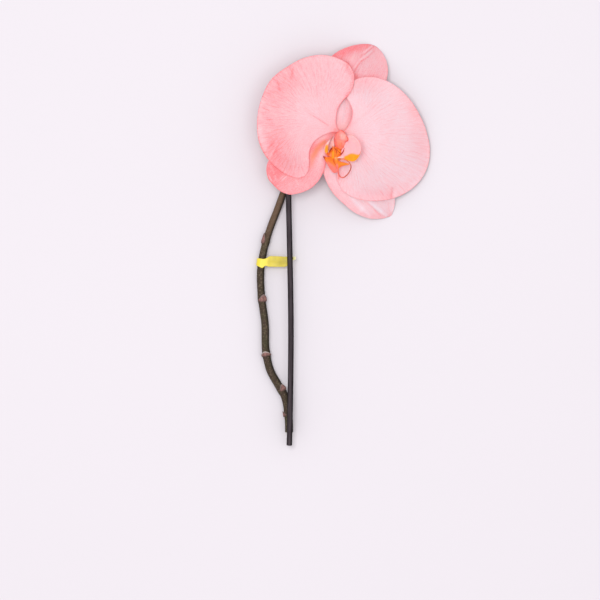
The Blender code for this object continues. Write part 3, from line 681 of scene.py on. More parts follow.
bracts = {
    # place along the stem (y), side it faces in degrees, half its wrap, length, tip length, pale edge
    "bract_1": (-148, 165, 55, 3.2, 2, 0.2),
    "bract_2": (-126.5, 55, 60, 3.6, 2.6, 0.3),
    "bract_3": (-96, 105, 95, 2.4, 2, 1),
    "bract_4": (-48, 60, 85, 4, 2.6, 0.25),
    "bract_5": (2.5, 142, 42, 5.4, 4.4, 0.2),
    "bract_floral": (80.8, 215, 85, 4, 4, 0.4),
}
bractSkin = {
    "thickness": 0.5, "gap": 0.42, "rimRound": 0.6,
    "brown": colour(0.105, 0.050, 0.042), "pink": colour(0.300, 0.148, 0.130),
    "pale": colour(0.55, 0.47, 0.44),
}


def stemTaper(where):
    return stem["footRadius"] + (stem["tipRadius"] - stem["footRadius"]) * where


def stemPlace(y):
    # centre, direction and fraction of the stem's length at this y
    samples, reach = 600, 3
    where = np.linspace(0.0, 1.0, samples)
    line = curveThrough(stem["line"], where)
    nearest = int(np.argmin(np.abs(line[:, 1] - y)))
    ahead = line[min(nearest + reach, samples - 1)] - line[nearest - reach]
    return line[nearest], unit(ahead), where[nearest]


def makeStem():
    # round stem: its radius tapers and swells as a Gaussian at each node, with faint ribs (cosines of
    # seven and of three turns that drift along it) and slow lumps (sines along it)
    rows, sides = 560, 64
    where = np.linspace(0.0, 1.0, rows)
    y = curveThrough(stem["line"], where)[:, 1:2]
    nodes = np.array([bract[0] for bract in bracts.values()])
    swell = stem["nodeSwell"] * gaussian(y, nodes, stem["swellReach"]).sum(axis=1, keepdims=True)
    along, turn = np.meshgrid(where, fullTurn(sides), indexing="ij")
    ribs = 0.035 * np.cos(7 * turn + 9 * along) + 0.03 * np.cos(3 * turn - 23 * along)
    lumps = 0.05 * np.sin(61 * along + 2 * turn) * np.sin(37 * along)
    radii = stemTaper(along) + swell - stem["skinDepth"] + ribs + lumps
    rings, poles = sweptRings(stem["line"], where, radii, upwards, (0.12, 0.8))
    cut, reach = np.zeros(rings.shape[:2]), np.zeros(rings.shape[:2])
    cut[:len(capArc)] = 1.0
    reach[:len(capArc)] = np.cos(capArc)[::-1, None]
    # mark for the painted shade on the flanks, turned a little towards the right
    facing = np.abs(np.sin(fullTurn(sides) - stem["turnFromLight"])) + 0 * cut
    marks = {"cut": cut, "cutReach": reach, "facing": facing}
    ringStack("stem", "stem", makeStemMaterial(), rings, poles, marks)


def makeStemMaterial():
    # olive and purple-brown in long streaks, greener at places, with pale specks and painted shade on its
    # flanks, more on the right; its foot shows the cut
    made, tree, place = newMaterial("stemSkin", 0.55, 0.08)
    streak = noise(tree, stretched(tree, place, (1.0, 0.22, 1.0)), 520.0, 4.0)
    base = blend(tree, easeBetween(tree, streak, 0.35, 0.65), stem["olive"], stem["purple"])
    base = blend(tree, easeBetween(tree, noise(tree, place, 42.0), 0.5, 0.7), base, stem["green"])
    upper = easeBetween(tree, split(tree, place)[1], -0.02, 0.03)
    base = blend(tree, upper, base, stem["upper"], 0.85)
    specks = withGroup(tree, speckGroup, {"Place": place, "Scale": 2400.0, "Size": 0.6})
    stipple = easeBetween(tree, noise(tree, place, 720.0, 2.0), 0.48, 0.66)
    stipple = scaled(tree, specks, 0.28, scaled(tree, stipple, 0.46))
    stipple = calculate(tree, "MULTIPLY", stipple, scaled(tree, upper, -0.25, 1.0))
    base = blend(tree, stipple, base, stem["speck"])
    # painted shade: the flanks darkened, more on the right
    base = blend(tree, easeBetween(tree, mark(tree, "facing"), 0.94, 0.25), base, stem["flankShade"], 0.9)
    pith = blend(tree, easeBetween(tree, mark(tree, "cutReach"), 0.75, 0.9), stem["pith"], stem["cut"])
    base = blend(tree, mark(tree, "cut"), base, pith)
    height = scaled(tree, streak, 0.7, scaled(tree, specks, 0.3))
    finishMaterial(tree, base, height, 0.12, scaled(tree, streak, 0.25, 0.42))
    return made


def makeBract(name, shape, material):
    # a sheath round the stem, pointed at its middle, ribbed along its length and flared at its free end
    y, facing, halfWrap, length, tip, pale = shape
    centre, ahead, where = stemPlace(y)
    side = unit(np.cross(ahead, upwards))
    s, t = patchGrid(rows=28, columns=110)  # as few rows as keeps all pieces under a million triangles
    turn = np.radians(facing + halfWrap * (2 * t - 1))
    middle = np.cos(math.pi * (t - 0.5))
    ragged = 0.18 * np.sin(31 * t) * np.sin(17 * t + 1.0) * s**3
    along = (s - 0.5) * length * (0.3 + 0.7 * middle) + s * tip * middle**2 + ragged
    swell = np.maximum(gaussian(along * ahead[1], 0, stem["swellReach"]), 0.55)
    flare = 0.35 * s**2 * middle + 0.05 * np.cos(26 * math.pi * t) * s
    radius = stemTaper(where) + stem["nodeSwell"] * swell + bractSkin["gap"] + flare
    out = np.cos(turn)[..., None] * side + np.sin(turn)[..., None] * np.cross(side, ahead)
    place = centre + along[..., None] * ahead + radius[..., None] * out
    edge = borderDistance(place)
    marks = {"rimLine": gaussian(s, 1, 0.16) * pale,
             "base": np.maximum(smoothStep(0.35, 0.0, s), smoothStep(1.8, 0.2, edge))}
    half = halfThickness(bractSkin["thickness"], edge, bractSkin["rimRound"])
    closedShell(name.replace("_", ""), name, material, place, half, marks, s, t)


def makeBractMaterial():
    # dry pink-brown scale: ribs along it, darker at its base, paler along its free edge
    made, tree, place = newMaterial("bractSkin", 0.65, 0.25)
    ribs = calculate(tree, "ABSOLUTE", calculate(tree, "SINE", scaled(tree, outlineChart(tree)[1], 44.0)))
    fleck = noise(tree, place, 700.0, 4.0)
    amount = scaled(tree, ribs, 0.25, easeBetween(tree, fleck, 0.3, 0.75))
    base = blend(tree, amount, bractSkin["brown"], bractSkin["pink"])
    base = blend(tree, mark(tree, "base"), base, stem["purple"], 0.7)
    base = blend(tree, mark(tree, "rimLine"), base, bractSkin["pale"])
    finishMaterial(tree, base, scaled(tree, ribs, 0.5, fleck), 0.1, scaled(tree, fleck, 0.2, 0.5))
    return made


makeStem()
bractMaterial = makeBractMaterial()
for name, shape in bracts.items():
    makeBract(name, shape, bractMaterial)
print("stem and bracts are made")


pedicel = {
    "line": [(-32.8, 84.5, 7.4), (-28, 88.3, 7.5), (-21, 91.2, 6.9), (-12, 93.8, 6.3), (-5.5, 95.4, 7),
             (-2, 96.2, 10.6), (-1.1, 96.3, 15), (-1.1, 96.3, 17)],
    "stalk": 1.9, "ovary": 0.7, "seatRadius": 5.6, "flareHeight": 4.0, "grooves": 6, "grooveDepth": 0.13,
    "olive": colour(0.20, 0.17, 0.075), "purple": colour(0.20, 0.085, 0.070),
    "coral": colour(0.870, 0.300, 0.290),
}


def makePedicel():
    # slim stalk, thicker grooved ovary (a Gaussian along it, its grooves a cubed cosine of the turn),
    # then the seat that carries the bloom, flared with the square of its height
    rows, sides = 260, 72
    where = np.linspace(0.0, 1.0, rows)
    z = curveThrough(pedicel["line"], where)[:, 2]
    stalk = pedicel["stalk"] + pedicel["ovary"] * gaussian(where, 0.72, 0.22)
    flare = np.clip(1 + (z - flowerCentre[2]) / pedicel["flareHeight"], 0.0, 1.0)
    radii = stalk + (pedicel["seatRadius"] - stalk) * flare**2
    depth = pedicel["grooveDepth"] * smoothStep(0.3, 0.6, where) * smoothStep(0.98, 0.86, where)
    grooves = (0.5 + 0.5 * np.cos(pedicel["grooves"] * fullTurn(sides))) ** 3
    radii = radii[:, None] - depth[:, None] * grooves
    rings, poles = sweptRings(pedicel["line"], where, radii, (0.0, 1.0, 0.0), (0.8, 0.02))
    ringStack("pedicel", "pedicel", makePedicelMaterial(), rings, poles, {})


def makePedicelMaterial():
    # olive with purple streaks, turning coral with height where it becomes the seat
    made, tree, place = newMaterial("pedicelSkin", 0.5, 0.35)
    streak = noise(tree, stretched(tree, place, (0.25, 1.0, 1.0)), 600.0, 4.0)
    base = blend(tree, easeBetween(tree, streak, 0.35, 0.7), pedicel["olive"], pedicel["purple"])
    base = blend(tree, easeBetween(tree, split(tree, place)[2], 0.009, 0.0155), base, pedicel["coral"])
    specks = withGroup(tree, speckGroup, {"Place": place, "Scale": 1600.0, "Size": 0.5})
    base = blend(tree, specks, base, stem["speck"], 0.25)
    finishMaterial(tree, base, streak, 0.08, scaled(tree, streak, 0.2, 0.4))
    return made


makePedicel()
print("pedicel is made")


lip = {
    "rimRound": 0.8,
    "lobeRight": {
        "sideA": [(-3.6, -19.6, 11), (-0.4, -14.2, 9.8), (0.8, -7.8, 9.6), (3.6, -2.6, 10.4)],
        "rim": [(5.8, -1.3, 11.2), (8.4, -1.1, 12.2), (12.4, -3.7, 14), (15.3, -7.7, 15.6),
                (16.5, -12.2, 16.2), (15.8, -16.8, 15.4)],
        "sideB": [(-4.6, -21.4, 11.6), (0.6, -21.3, 11.4), (5.6, -23.6, 11.2), (9.6, -24.2, 11.8),
                  (13.1, -21.1, 13.6)],
        "bulge": (1.2, -0.8, -2.6), "thickness": 0.8,
    },
    "lobeLeft": {
        "sideA": [(-6.4, -13.4, 8.4), (-6.6, -9.4, 8.8), (-7, -4.8, 10.2), (-6.9, -1.8, 12.2)],
        "rim": [(-8.7, -4.6, 14.6), (-10.4, -9.4, 15.6)],
        "sideB": [(-8, -18.4, 8.6), (-11.6, -19.4, 9.4), (-13, -18, 11.8), (-11.6, -14.4, 14.4)],
        "bulge": (-4.6, 0.6, -0.6), "thickness": 0.8,
    },
    "midLeft": {
        "sideA": [(-6.6, -18.6, 9.4), (-11.3, -20.4, 10.6), (-14.2, -20.3, 11.6), (-16.6, -19.2, 12.8)],
        "rim": [],
        "sideB": [(-3.6, -32.4, 11.2), (-6.6, -34.2, 9.6), (-10, -30.9, 9), (-13.2, -25.6, 10.2),
                  (-16.2, -20.6, 12.2)],
        "bulge": (0.4, 0.6, 1.4), "thickness": 0.9,
    },
    "midRight": {
        "sideA": [(-5.2, -20.2, 10.6), (-2.4, -23.8, 12.2), (1.6, -25.2, 12.6), (6.4, -26.1, 13)],
        "rim": [],
        "sideB": [(-3.3, -31, 12), (-1.2, -28.8, 11.6), (2.2, -27.7, 11.8), (6.2, -26.9, 12.7)],
        "bulge": (0.3, 0.2, 0.8), "thickness": 0.9,
    },
    "callus": {"centre": (-5.9, -17.4, 8.8), "radii": (5.6, 6.2, 3.5)},
    "midrib": [(-5.8, -19.8, 10.8), (-5, -24, 11.95), (-3.6, -31, 11.3)],
    "horns": {
        # line from foot to tip, where along it the dark red starts, radii that its thickness leans to
        "hornLeft": ([(-8, -12.2, 12.4), (-9.1, -12.9, 13.5), (-10.2, -14.4, 14), (-11.3, -16.4, 13.6)],
                     -0.1, (0.25, 0.95, 0.2)),
        "hornPeak": ([(-6.4, -17.6, 10.2), (-7.4, -13.8, 11.5), (-8.2, -10.9, 12.6)],
                     0.9, (2.6, 1.5, 0.25)),
        "hornRight": ([(-2.4, -18.6, 11.6), (-0.9, -18, 12.7), (0.7, -16, 13.3), (1.6, -13.8, 13.6),
                       (2.1, -12.4, 13.3)], -0.1, (0.5, 0.7, 0.15)),
    },
    "tendrilLoop": [(-3.2, -31.6, 11.2), (-2.9, -35.2, 9.8), (-1.4, -37.6, 9.2), (1, -38.1, 9),
                    (3.9, -36.2, 9.6), (6.4, -33, 10.6), (7.7, -29.3, 12), (7, -26.3, 14.8),
                    (4.8, -23.9, 15.8), (1.6, -22.4, 15.9), (-2, -22.4, 15.2)],
    "tendrilShort": [(-3.6, -31.4, 11), (-3.1, -35.6, 8.8), (-2.8, -39.4, 7.9)],
    "pink": colour(0.890, 0.390, 0.435), "yellow": colour(0.880, 0.330, 0.012),
    "orange": colour(0.860, 0.190, 0.018), "coral": colour(0.870, 0.180, 0.150),
    "red": colour(0.350, 0.020, 0.010), "white": colour(0.910, 0.620, 0.595),
}
waxy = {"Subsurface Weight": 0.5, "Subsurface Radius": (0.003, 0.001, 0.0006), "Subsurface Scale": 0.6}
callusLines = {
    # each line: its points, breadth and height or strength
    "relief": [([(-7.4, -21), (-7.6, -12)], 1.3, 0.7), ([(-4.6, -20), (-2, -13.6)], 1.2, 0.7),
               ([(-5.9, -20.5), (-5.2, -13)], 0.6, -0.45)],
    "strokes": [([(-8, -11.4), (-5.8, -13.4), (-4.6, -15.6), (-5.3, -18.8)], 0.42, 1),
                ([(-4.9, -13.2), (-3.2, -15.6), (-1, -17.2)], 0.36, 1),
                ([(-4, -13.2), (-1, -13.4)], 0.45, 0.7)],
    "yellow": [([(-7.9, -14.5), (-7.7, -18), (-8.2, -22)], 1.0, 1),
               ([(-2.2, -15.4), (-1.4, -16.4)], 0.9, 1)],
}


def finishWaxy(tree, place, base):
    grain = withGroup(tree, grainGroup, {"Place": place, "Scale": 1400.0})
    finishMaterial(tree, base, grain, 0.05, scaled(tree, grain, 0.2, 0.42))


def makeLipMaterial():
    # waxy skin: pink ground, then orange, coral, white, yellow and dark red laid on by their marks
    made, tree, place = newMaterial("lipSkin", 0.5, 0.2, waxy)
    mottle = noise(tree, place, 500.0, 4.0)
    base = blend(tree, mottle, lip["pink"], lip["white"], 0.5)
    for title in ("orange", "coral", "white", "yellow", "red"):
        # the mottle, half as strong and even about nothing, frays the mark's edge
        amount = scaled(tree, mottle, 0.5, calculate(tree, "ADD", mark(tree, title), -0.25))
        base = blend(tree, easeBetween(tree, amount, 0.05, 0.95), base, lip[title])
    finishWaxy(tree, place, base)
    return made


def lipMarks(like, yellow, orange, coral, red, white):
    # the five colour marks, each spread over points like these
    given = {"yellow": yellow, "orange": orange, "coral": coral, "red": red, "white": white}
    return {title: value + np.zeros_like(like) for title, value in given.items()}


def lobeRightMarks(x, y, edge, s, t):
    # a yellow band along the lower side with a soft upper edge, white on the ridge left of it as a painted
    # highlight, and a thin rim line, brown beside the band and mauve above it
    top = -19.6 + 2.4 * smoothStep(2.0, 8.5, x) - smoothStep(9.0, 14.0, x)
    band = smoothStep(-1.4, 1.6, top - y) * smoothStep(0.4, 3.2, x)
    rim = gaussian(edge, 0, 0.42) * (s > 0.25)
    low = smoothStep(-14.0, -18.0, y)
    # painted highlight along the ridge
    ridgeHighlight = smoothStep(3.0, 0.0, x) * smoothStep(-19.2, -20.6, y)
    return band, 0.9 * rim * low, 0.5 * rim * (1 - low), 0.08 * rim * (1 + low), 0.8 * ridgeHighlight


def lobeLeftMarks(x, y, edge, s, t):
    # yellow patch on the outside, whitish above and along the outer rim, orange-red foot,
    # brown inner rim line
    patch = np.exp(-((x + 13.2 - 0.12 * (y + 13.0)) / 1.5) ** 4 - ((y + 14.0) / 4.4) ** 4)
    brown = gaussian(s, 1, 0.11) * smoothStep(0.02, 0.10, t)
    foot = smoothStep(-15.4, -17.6, y)
    orange, red = foot + 0.45 * brown * (1 - patch), 0.66 * brown + 0.15 * foot
    return patch * (1 - 0.7 * foot), orange, 0.35 * foot, red, (1 - patch) * (1 - foot)


def midLeftMarks(x, y, edge, s, t):
    # orange towards the callus and the midrib, coral along the lower side, dark brown at the wing's tip
    coral = smoothStep(2.5, -5.0, 0.75 * (x + 8.5) + y + 26.0) * smoothStep(-16.0, -11.0, x)
    rib = nearLine([(-8.2, -20.8), (-7.6, -24.2), (-5.8, -27.0), (-3.8, -28.6)], x, y, 0.42)
    glow = oval(x, y, -4.8, -23.0, 2.0, 3.4)
    red = 0.55 * rib + 0.9 * smoothStep(-13.2, -15.8, x) + 0.12 * gaussian(edge, 0, 0.4)
    return 0.45 * glow, 1 - 0.5 * coral, coral, red, 0.25 * glow


def midRightMarks(x, y, edge, s, t):
    # orange, yellower along its middle, browner along its upper edge
    return 0.40 * gaussian(t, 0.55, 0.25), 1, 0, 0.60 * gaussian(t, 0, 0.16) * smoothStep(0.15, 0.4, s), 0


def makeBlade(name, shape, marksOf):
    # a lip blade: its outline in space with the middle pushed along the bulge, by a parabola of s
    # times one of t; thin at its edge
    s, t = patchGrid(rows=60, columns=60)
    swell = 16 * s * (1 - s) * t * (1 - t)
    middle = outlinePatch(shape, s, t) + swell[..., None] * np.array(shape["bulge"])
    edge = borderDistance(middle)
    marks = lipMarks(s, *marksOf(middle[..., 0], middle[..., 1], edge, s, t))
    half = halfThickness(shape["thickness"], edge, lip["rimRound"])
    closedShell(name, "lip", lipMaterial, flowerPlace(middle), half, marks, s, t)


def makeCallus():
    # an ellipsoid, higher towards the column, with a low keel on each side of a shallow groove
    # (Gaussians of the distance to a line) and fine lumps (two sines multiplied)
    centre, radii = lip["callus"]["centre"], lip["callus"]["radii"]
    rings, ball = ballRings(centre, radii, rows=110, sides=150)
    top = smoothStep(0.0, 0.6, ball[..., 2])
    x, y = rings[..., 0], rings[..., 1]
    lumps = 0.14 * np.sin(2.3 * x + 0.7 * y) * np.sin(1.9 * y - 0.9 * x)
    rings[..., 2] += top * (sum(lineMarks(callusLines["relief"], x, y)) + 0.6 * ball[..., 1] + lumps)
    strokes, yellow = (np.maximum.reduce(lineMarks(callusLines[kind], x, y))
                       for kind in ("strokes", "yellow"))
    pale = oval(x, y, -10.4, -18.6, 1.8, 2.4)
    marks = lipMarks(x, 0.75 * yellow + 0.2 * pale, 1, 0.35 * oval(x, y, -8.6, -13.0, 1.4, 2.4),
                     0.85 * strokes * top, 0.3 * pale)
    poles = flowerPlace([np.array(centre) - (0, 0, radii[2]), rings[-1].mean(axis=0) + (0, 0, 0.002)])
    ringStack("lipCallus", "lip", lipMaterial, flowerPlace(rings), poles, marks)


def makeLipTube(name, line, radiusOf, marksOf, rows=90, sides=20, broad=1.0):
    # a thread along the line, its radius a function of the fraction along it, broad times as wide as high
    where, turn = np.linspace(0.0, 1.0, rows), fullTurn(sides)
    radii = radiusOf(where)[:, None] / np.hypot(np.cos(turn) / broad, np.sin(turn))
    rings, poles = sweptRings(flowerPlace(line), where, radii, upwards, (1.0, 1.0))
    along = np.pad(where, len(capArc), mode="edge")[:, None] * np.ones(sides)
    ringStack(name, "lip", lipMaterial, rings, poles, lipMarks(along, *marksOf(along, turn)))


def tendrilRadius(where):
    return 0.50 - 0.1 * where


lipMaterial = makeLipMaterial()
makeBlade("lipLobeRight", lip["lobeRight"], lobeRightMarks)
makeBlade("lipLobeLeft", lip["lobeLeft"], lobeLeftMarks)
makeBlade("lipMidLeft", lip["midLeft"], midLeftMarks)
makeBlade("lipMidRight", lip["midRight"], midRightMarks)
makeCallus()
makeLipTube("lipMidrib", lip["midrib"], lambda where: 0.8 - 0.35 * where + 0.06 * np.sin(17 * where),
            lambda along, turn: (0.35 * smoothStep(0.7, 0.2, along), 1 - 0.6 * smoothStep(0.4, 0.9, along),
                                 smoothStep(0.4, 0.9, along), 0.42 * smoothStep(0.72, 0.96, np.cos(turn)),
                                 0.30 * smoothStep(0.5, 0.1, along)), broad=2.2)
for name, (line, redFrom, (foot, lean, tip)) in lip["horns"].items():
    # the radius is a quadratic Bezier curve of the three, rippled; the red swells in and fades at the tip
    makeLipTube(name, line,
                lambda where: (foot * (1 - where) ** 2 + 2 * lean * where * (1 - where) + tip * where**2)
                * (1 + 0.12 * np.sin(13 * where + 1)),
                lambda along, turn: (0, 1, 0.3 * along, 0.95 * smoothStep(redFrom, redFrom + 0.45, along)
                                     * (1 - 0.4 * smoothStep(0.8, 1.0, along)), 0))
makeLipTube("lipTendrilLoop", lip["tendrilLoop"], tendrilRadius,
            lambda along, turn: (0, 0.8, 0.9 * smoothStep(0.6, 0.1, along),
                                 0.34 + 0.36 * gaussian(along, 0.5, 0.22), 0), rows=200, sides=16)
makeLipTube("lipTendrilShort", lip["tendrilShort"], tendrilRadius,
            lambda along, turn: (0, 0, 0.9, 0.2 * along, 0.3 * along), rows=60, sides=16)
print("lip is made")


column = {
    "middle": (-0.9, -5.2),
    # clockwise from the hood's peak: brow, beak, the face's right side, its end and its left side
    "outline": [(-0.9, 3.6), (1.6, 2), (3.8, -1.4), (5.6, -4.6), (5.3, -6.4), (3.2, -7.6), (2.3, -9.8),
                (1.4, -12.2), (-0.8, -13.9), (-3.6, -13.8), (-5.8, -11.8), (-6.9, -8.6), (-6.9, -5),
                (-6.1, -1.6), (-4, 1.2)],
    "height": 15.2, "touch": 0.3, "footMiddle": (-0.2, -0.6), "footRadius": 6.4,
    "widths": [(0, 0.47), (0.22, 0.50), (0.42, 0.72), (0.62, 1.01), (0.82, 1.07), (1, 0.92)],
    "coral": colour(0.890, 0.220, 0.195), "pale": colour(0.905, 0.420, 0.370),
    "orange": colour(0.870, 0.200, 0.090), "deep": colour(0.800, 0.125, 0.095),
}
# dark strokes in the stigma: points, breadth, strength
columnStrokes = [([(-4.6, -7.6), (-3.9, -11.6)], 0.4, 0.4), ([(-3, -8.8), (-1.4, -11.4)], 0.35, 0.4),
                 ([(-0.6, -7.8), (-0.2, -11.8)], 0.4, 0.4)]
antherCap = {
    "centre": (0.9, -2.4, 13.3), "radii": (2.8, 2.6, 2.62),
    "pale": colour(0.905, 0.420, 0.370), "warm": colour(0.895, 0.330, 0.290),
}


def makeColumn():
    # a ball drawn out into the column's outline from the front and narrow at its foot; its front is lower
    # below the hood's brim, hollow at the stigma and falls towards the lip
    rows, sides = 130, 180
    step = np.linspace(-1.0, 1.0, rows + 2)[1:-1]
    step, turn = np.meshgrid(step, np.arange(sides) / sides, indexing="ij")
    lean = math.pi / 2 * np.sign(step) * (1 - (1 - np.abs(step)) ** 2.2)
    level = (np.sin(lean) + 1) / 2
    brow = curveThrough([*column["outline"], column["outline"][0]], turn) - np.array(column["middle"])
    width = np.interp(level, *zip(*column["widths"])) * np.cos(lean) ** 0.45
    mix = smoothStep(0.2, 0.6, level)[..., None]
    ring = unit(brow) * column["footRadius"] * (1 - mix) + brow * mix
    middle = mix * np.array(column["middle"]) + (1 - mix) * np.array(column["footMiddle"])
    flat = middle + ring * width[..., None]
    x, y = flat[..., 0], flat[..., 1]
    brim = y + 6.0 + 0.10 * x + 0.5 * np.sin(0.5 * x)
    hollow, dimples = oval(x, y, -2.3, -9.8, 2.2, 2.5), oval(x, y, -2.6, -2.8, 0.9, 0.8)
    drop = 0.8 * smoothStep(0.9, -0.9, brim) + 2.2 * smoothStep(-8.5, -14.0, y)
    drop += 1.3 * hollow + 0.3 * dimples
    height = column["touch"] + column["height"] * level - smoothStep(0.55, 0.85, level) * drop
    rings = np.concatenate((flat, height[..., None]), axis=-1)[:, ::-1]
    marks = columnMarks(x, y, level, brim, hollow, dimples)
    poles = flowerPlace([(*column["footMiddle"], column["touch"]), rings[-1].mean(axis=0) + (0, 0, 0.001)])
    ringStack("column", "column", makeColumnMaterial(), flowerPlace(rings), poles,
              {title: value[:, ::-1] for title, value in marks.items()})


def columnMarks(x, y, level, brim, hollow, dimples):
    # pale on the brow, orange in the stigma and towards the lip; deep is painted shade along the right
    # brow's bevel, on the hood's left slope, down the left side, low on the sides and in the brim's crease,
    # with the stigma's own dark strokes and darker dimples
    below = smoothStep(0.9, -0.9, brim)
    # painted shade along the brow's right bevel
    beakShade = nearLine([(-0.6, 3.5), (2.5, 1.0), (5.0, -3.4), (5.8, -5.6), (3.6, -7.6)], x, y, 1.0)
    side = nearLine([(-6.4, -4.0), (-6.0, -9.0), (-4.6, -12.6)], x, y, 1.3)
    strokes = sum(lineMarks(columnStrokes, x, y))
    # painted shade in the brim's crease
    creaseShade = gaussian(brim, 0, 0.45) * smoothStep(-6.0, -3.0, x) * smoothStep(3.5, 0.5, x)
    pale = (1 - below) * oval(x, y, 0.9, -1.8, 3.2, 2.8) + 0.3 * below * smoothStep(-0.5, 2.0, x)
    orange = below * (0.3 + 0.7 * hollow) + smoothStep(-10.5, -13.5, y)
    deep = 0.4 * (1 - below) * smoothStep(0.0, -3.5, x) + below * (0.5 * side + strokes)
    deep += 0.3 * dimples + 0.9 * beakShade + 0.35 * smoothStep(0.90, 0.72, level) + 0.12 * creaseShade
    return {"pale": pale, "orange": np.clip(orange, 0, 1), "deep": np.clip(deep, 0, 1)}


def makeColumnMaterial():
    # waxy coral, paler on the brow and orange below; darker in the dimples and the stigma's strokes, with
    # painted shade on the brow's right bevel, the sides and the brim's crease
    made, tree, place = newMaterial("columnSkin", 0.5, 0.28, waxy)
    base = blend(tree, mark(tree, "pale"), column["coral"], column["pale"])
    base = blend(tree, mark(tree, "orange"), base, column["orange"])
    base = blend(tree, noise(tree, place, 420.0, 4.0), base, column["pale"], 0.25)
    # painted shade, with the stigma's own dark strokes
    base = blend(tree, mark(tree, "deep"), base, column["deep"])
    finishWaxy(tree, place, base)
    return made


def makeAntherCap():
    # a small helmet: an ellipsoid with a groove down its middle, two dimples and a short beak,
    # each a Gaussian
    centre, radii = np.array(antherCap["centre"]), antherCap["radii"]
    rings, ball = ballRings(centre, radii, rows=60, sides=90)
    x, y, z = np.moveaxis(ball, -1, 0)
    top = smoothStep(-0.2, 0.7, z)
    dimples = oval(x, y, -0.45, -0.2, 0.2, 0.24) + oval(x, y, 0.35, -0.25, 0.2, 0.24)
    rings[..., 2] -= top * (0.14 * gaussian(x, -0.1, 0.12) + 0.15 * dimples)
    rings[..., 1] -= 0.5 * gaussian(x, 0, 0.3) * smoothStep(-0.5, -1.0, y)
    poles = flowerPlace([centre - (0, 0, radii[2]), centre + (0, 0, radii[2] - 0.3)])
    made, tree, place = newMaterial("antherCapSkin", 0.5, 0.28, waxy)
    base = blend(tree, noise(tree, place, 600.0, 4.0), antherCap["pale"], antherCap["warm"])
    base = blend(tree, mark(tree, "groove"), base, column["coral"], 0.3)
    finishWaxy(tree, place, base)
    groove = {"groove": gaussian(x, -0.1, 0.14) * top}
    ringStack("antherCap", "anther_cap", made, flowerPlace(rings), poles, groove)


makeColumn()
makeAntherCap()
print("column and anther cap are made")


stake = {
    "line": [(-46.9, -174, 10.45), (-46.2, -143, 10.6), (-45.5, -65, 10.6), (-46.3, -15, 10.7),
             (-47.5, 39, 11), (-48, 62.5, 11.3)],
    # the flank colour paints shade on the rod's sides, turned a little to the right, leaving a lit band
    # down it
    "radius": 2.45, "turnFromLight": 0.15, "coat": colour(0.034, 0.026, 0.030),
    "worn": colour(0.068, 0.055, 0.061), "flankShade": colour(0.003, 0.002, 0.003),
}
tie = {
    "y": -15.5, "standOff": 0.77, "thickness": 0.55, "rimRound": 0.35,
    # x and z of its path: the hidden run to the stem, then the panel that passes behind the stake to the
    # tail; between them it turns round the stem, from and to these degrees in so many points
    "hiddenRun": [(-48.4, 6.2), (-58, 3.3)], "wrap": (258.0, 78.0, 7),
    "panel": [(-66, 8.5), (-57, 7.9), (-47.5, 7.6), (-43.6, 7.8), (-41.4, 9.4)],
    # x, y of the ribbon's middle there and half its width: wrap, pinch, panel, tail
    "course": [(-75, -14.8, 3.1), (-72.6, -15.6, 3.6), (-69.8, -16.3, 3.9), (-67.4, -15.1, 3.3),
               (-64.6, -14.6, 4.4), (-60, -14.6, 4.6), (-54.5, -14.7, 4.5), (-49.5, -14.6, 4.2),
               (-46.5, -13.3, 2.8), (-43.9, -12.1, 1.6), (-41, -11.8, 1.4)],
    # the bright yellow paints light on the front wrap and a highlight along the edges; pale paints light on
    # the tail, which lies in the stake's shadow
    "yellow": colour(0.620, 0.500, 0.030), "litYellow": colour(0.780, 0.640, 0.050),
    "shade": colour(0.430, 0.340, 0.020), "pale": colour(0.940, 0.900, 0.480),
}


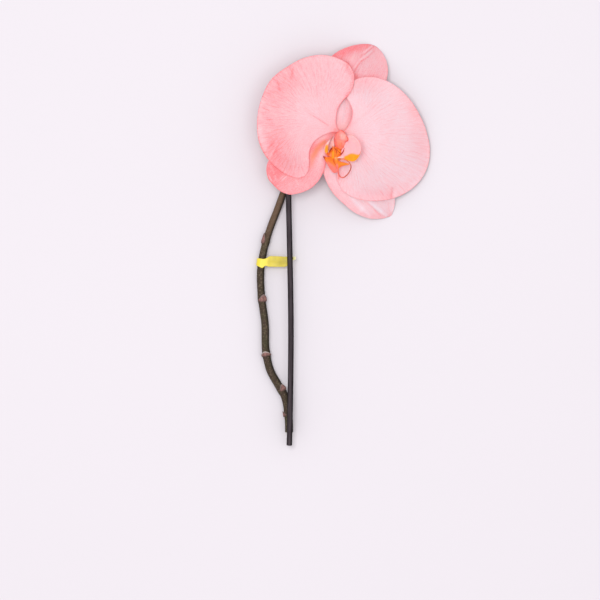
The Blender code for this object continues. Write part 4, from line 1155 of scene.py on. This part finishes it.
def makeStake():
    # a straight rod with a thin coat: the radius ripples by a few hundredths of a millimetre, as two
    # sines of length and turn
    rows, sides = 420, 48
    where = np.linspace(0.0, 1.0, rows)
    along, turn = np.meshgrid(where, fullTurn(sides), indexing="ij")
    ripple = 0.015 * np.sin(140 * along + 2 * turn) + 0.012 * np.sin(57 * along - 3 * turn)
    rings, poles = sweptRings(stake["line"], where, stake["radius"] + ripple, upwards, (0.35, 0.35))
    # mark for the painted shade on the rod's sides
    facing = np.abs(np.sin(fullTurn(sides) - stake["turnFromLight"])) * np.ones(rings.shape[:2])
    made, tree, place = newMaterial("stakeCoat", 0.35, 0.05)
    streak = noise(tree, stretched(tree, place, (1.0, 0.08, 1.0)), 900.0, 4.0)
    rub = noise(tree, place, 90.0, 5.0)
    base = blend(tree, easeBetween(tree, streak, 0.3, 0.8), stake["coat"], stake["worn"])
    base = blend(tree, easeBetween(tree, rub, 0.55, 0.75), base, stake["worn"], 0.4)
    # painted shade on the rod's sides
    base = blend(tree, easeBetween(tree, mark(tree, "facing"), 0.96, 0.5), base, stake["flankShade"])
    finishMaterial(tree, base, streak, 0.04, scaled(tree, rub, 0.25, 0.26))
    ringStack("stake", "stake", made, rings, poles, {"facing": facing})


def makeTie():
    # a flat ribbon carried along a path in x and z, round the stem and behind the stake; its middle's y
    # and its breadth follow x; soft crinkles, two sines of x and y, start where it leaves the stem
    rows, columns = 300, 40
    s, t = patchGrid(rows, columns)
    centre, ahead, where = stemPlace(tie["y"])
    radius = stemTaper(where) + tie["standOff"]
    turns = np.radians(np.linspace(*tie["wrap"]))
    loop = [(centre[0] + radius * math.cos(turn), centre[2] + radius * math.sin(turn)) for turn in turns]
    x, z = np.moveaxis(curveThrough([*tie["hiddenRun"], *loop, *tie["panel"]], s), -1, 0)
    courseX, courseY, courseHalf = curveThrough(tie["course"], np.linspace(0.0, 1.0, rows)).T
    across = (2 * t - 1) * np.interp(x, courseX, courseHalf)
    y = np.interp(x, courseX, courseY) + across
    crinkle = 0.10 * np.sin(0.55 * x + 0.3 * y) + 0.08 * np.sin(1.3 * y + 0.2 * x)
    hug = np.clip((-52.0 - x) / 16.0, 0.0, 1.0) * across * ahead[0] / ahead[1]
    middle = np.stack((x + hug, y, z + smoothStep(-67.0, -62.0, x) * crinkle), axis=-1)
    edge = borderDistance(middle)
    # the wrap and tail marks carry painted light, the edge mark a painted highlight
    marks = {"wrap": smoothStep(-64.0, -67.5, x), "edge": gaussian(edge, 0, 0.5),
             "tailLit": smoothStep(-45.5, -42.0, x)}
    made, tree, place = newMaterial("tieRibbon", 0.4, 0.45)
    cloud = noise(tree, place, 120.0)
    base = blend(tree, easeBetween(tree, cloud, 0.3, 0.75), tie["yellow"], tie["shade"])
    base = blend(tree, mark(tree, "wrap"), base, tie["litYellow"])
    base = blend(tree, mark(tree, "edge"), base, tie["litYellow"], 0.5)
    base = blend(tree, mark(tree, "tailLit"), base, tie["pale"])
    weave = noise(tree, stretched(tree, place, (0.2, 1.0, 0.2)), 1800.0, 2.0)
    finishMaterial(tree, base, weave, 0.03, scaled(tree, cloud, 0.2, 0.32))
    half = halfThickness(tie["thickness"], edge, tie["rimRound"])
    closedShell("tie", "tie", made, middle, half, marks, s, t)


makeStake()
makeTie()
print("stake and tie are made")
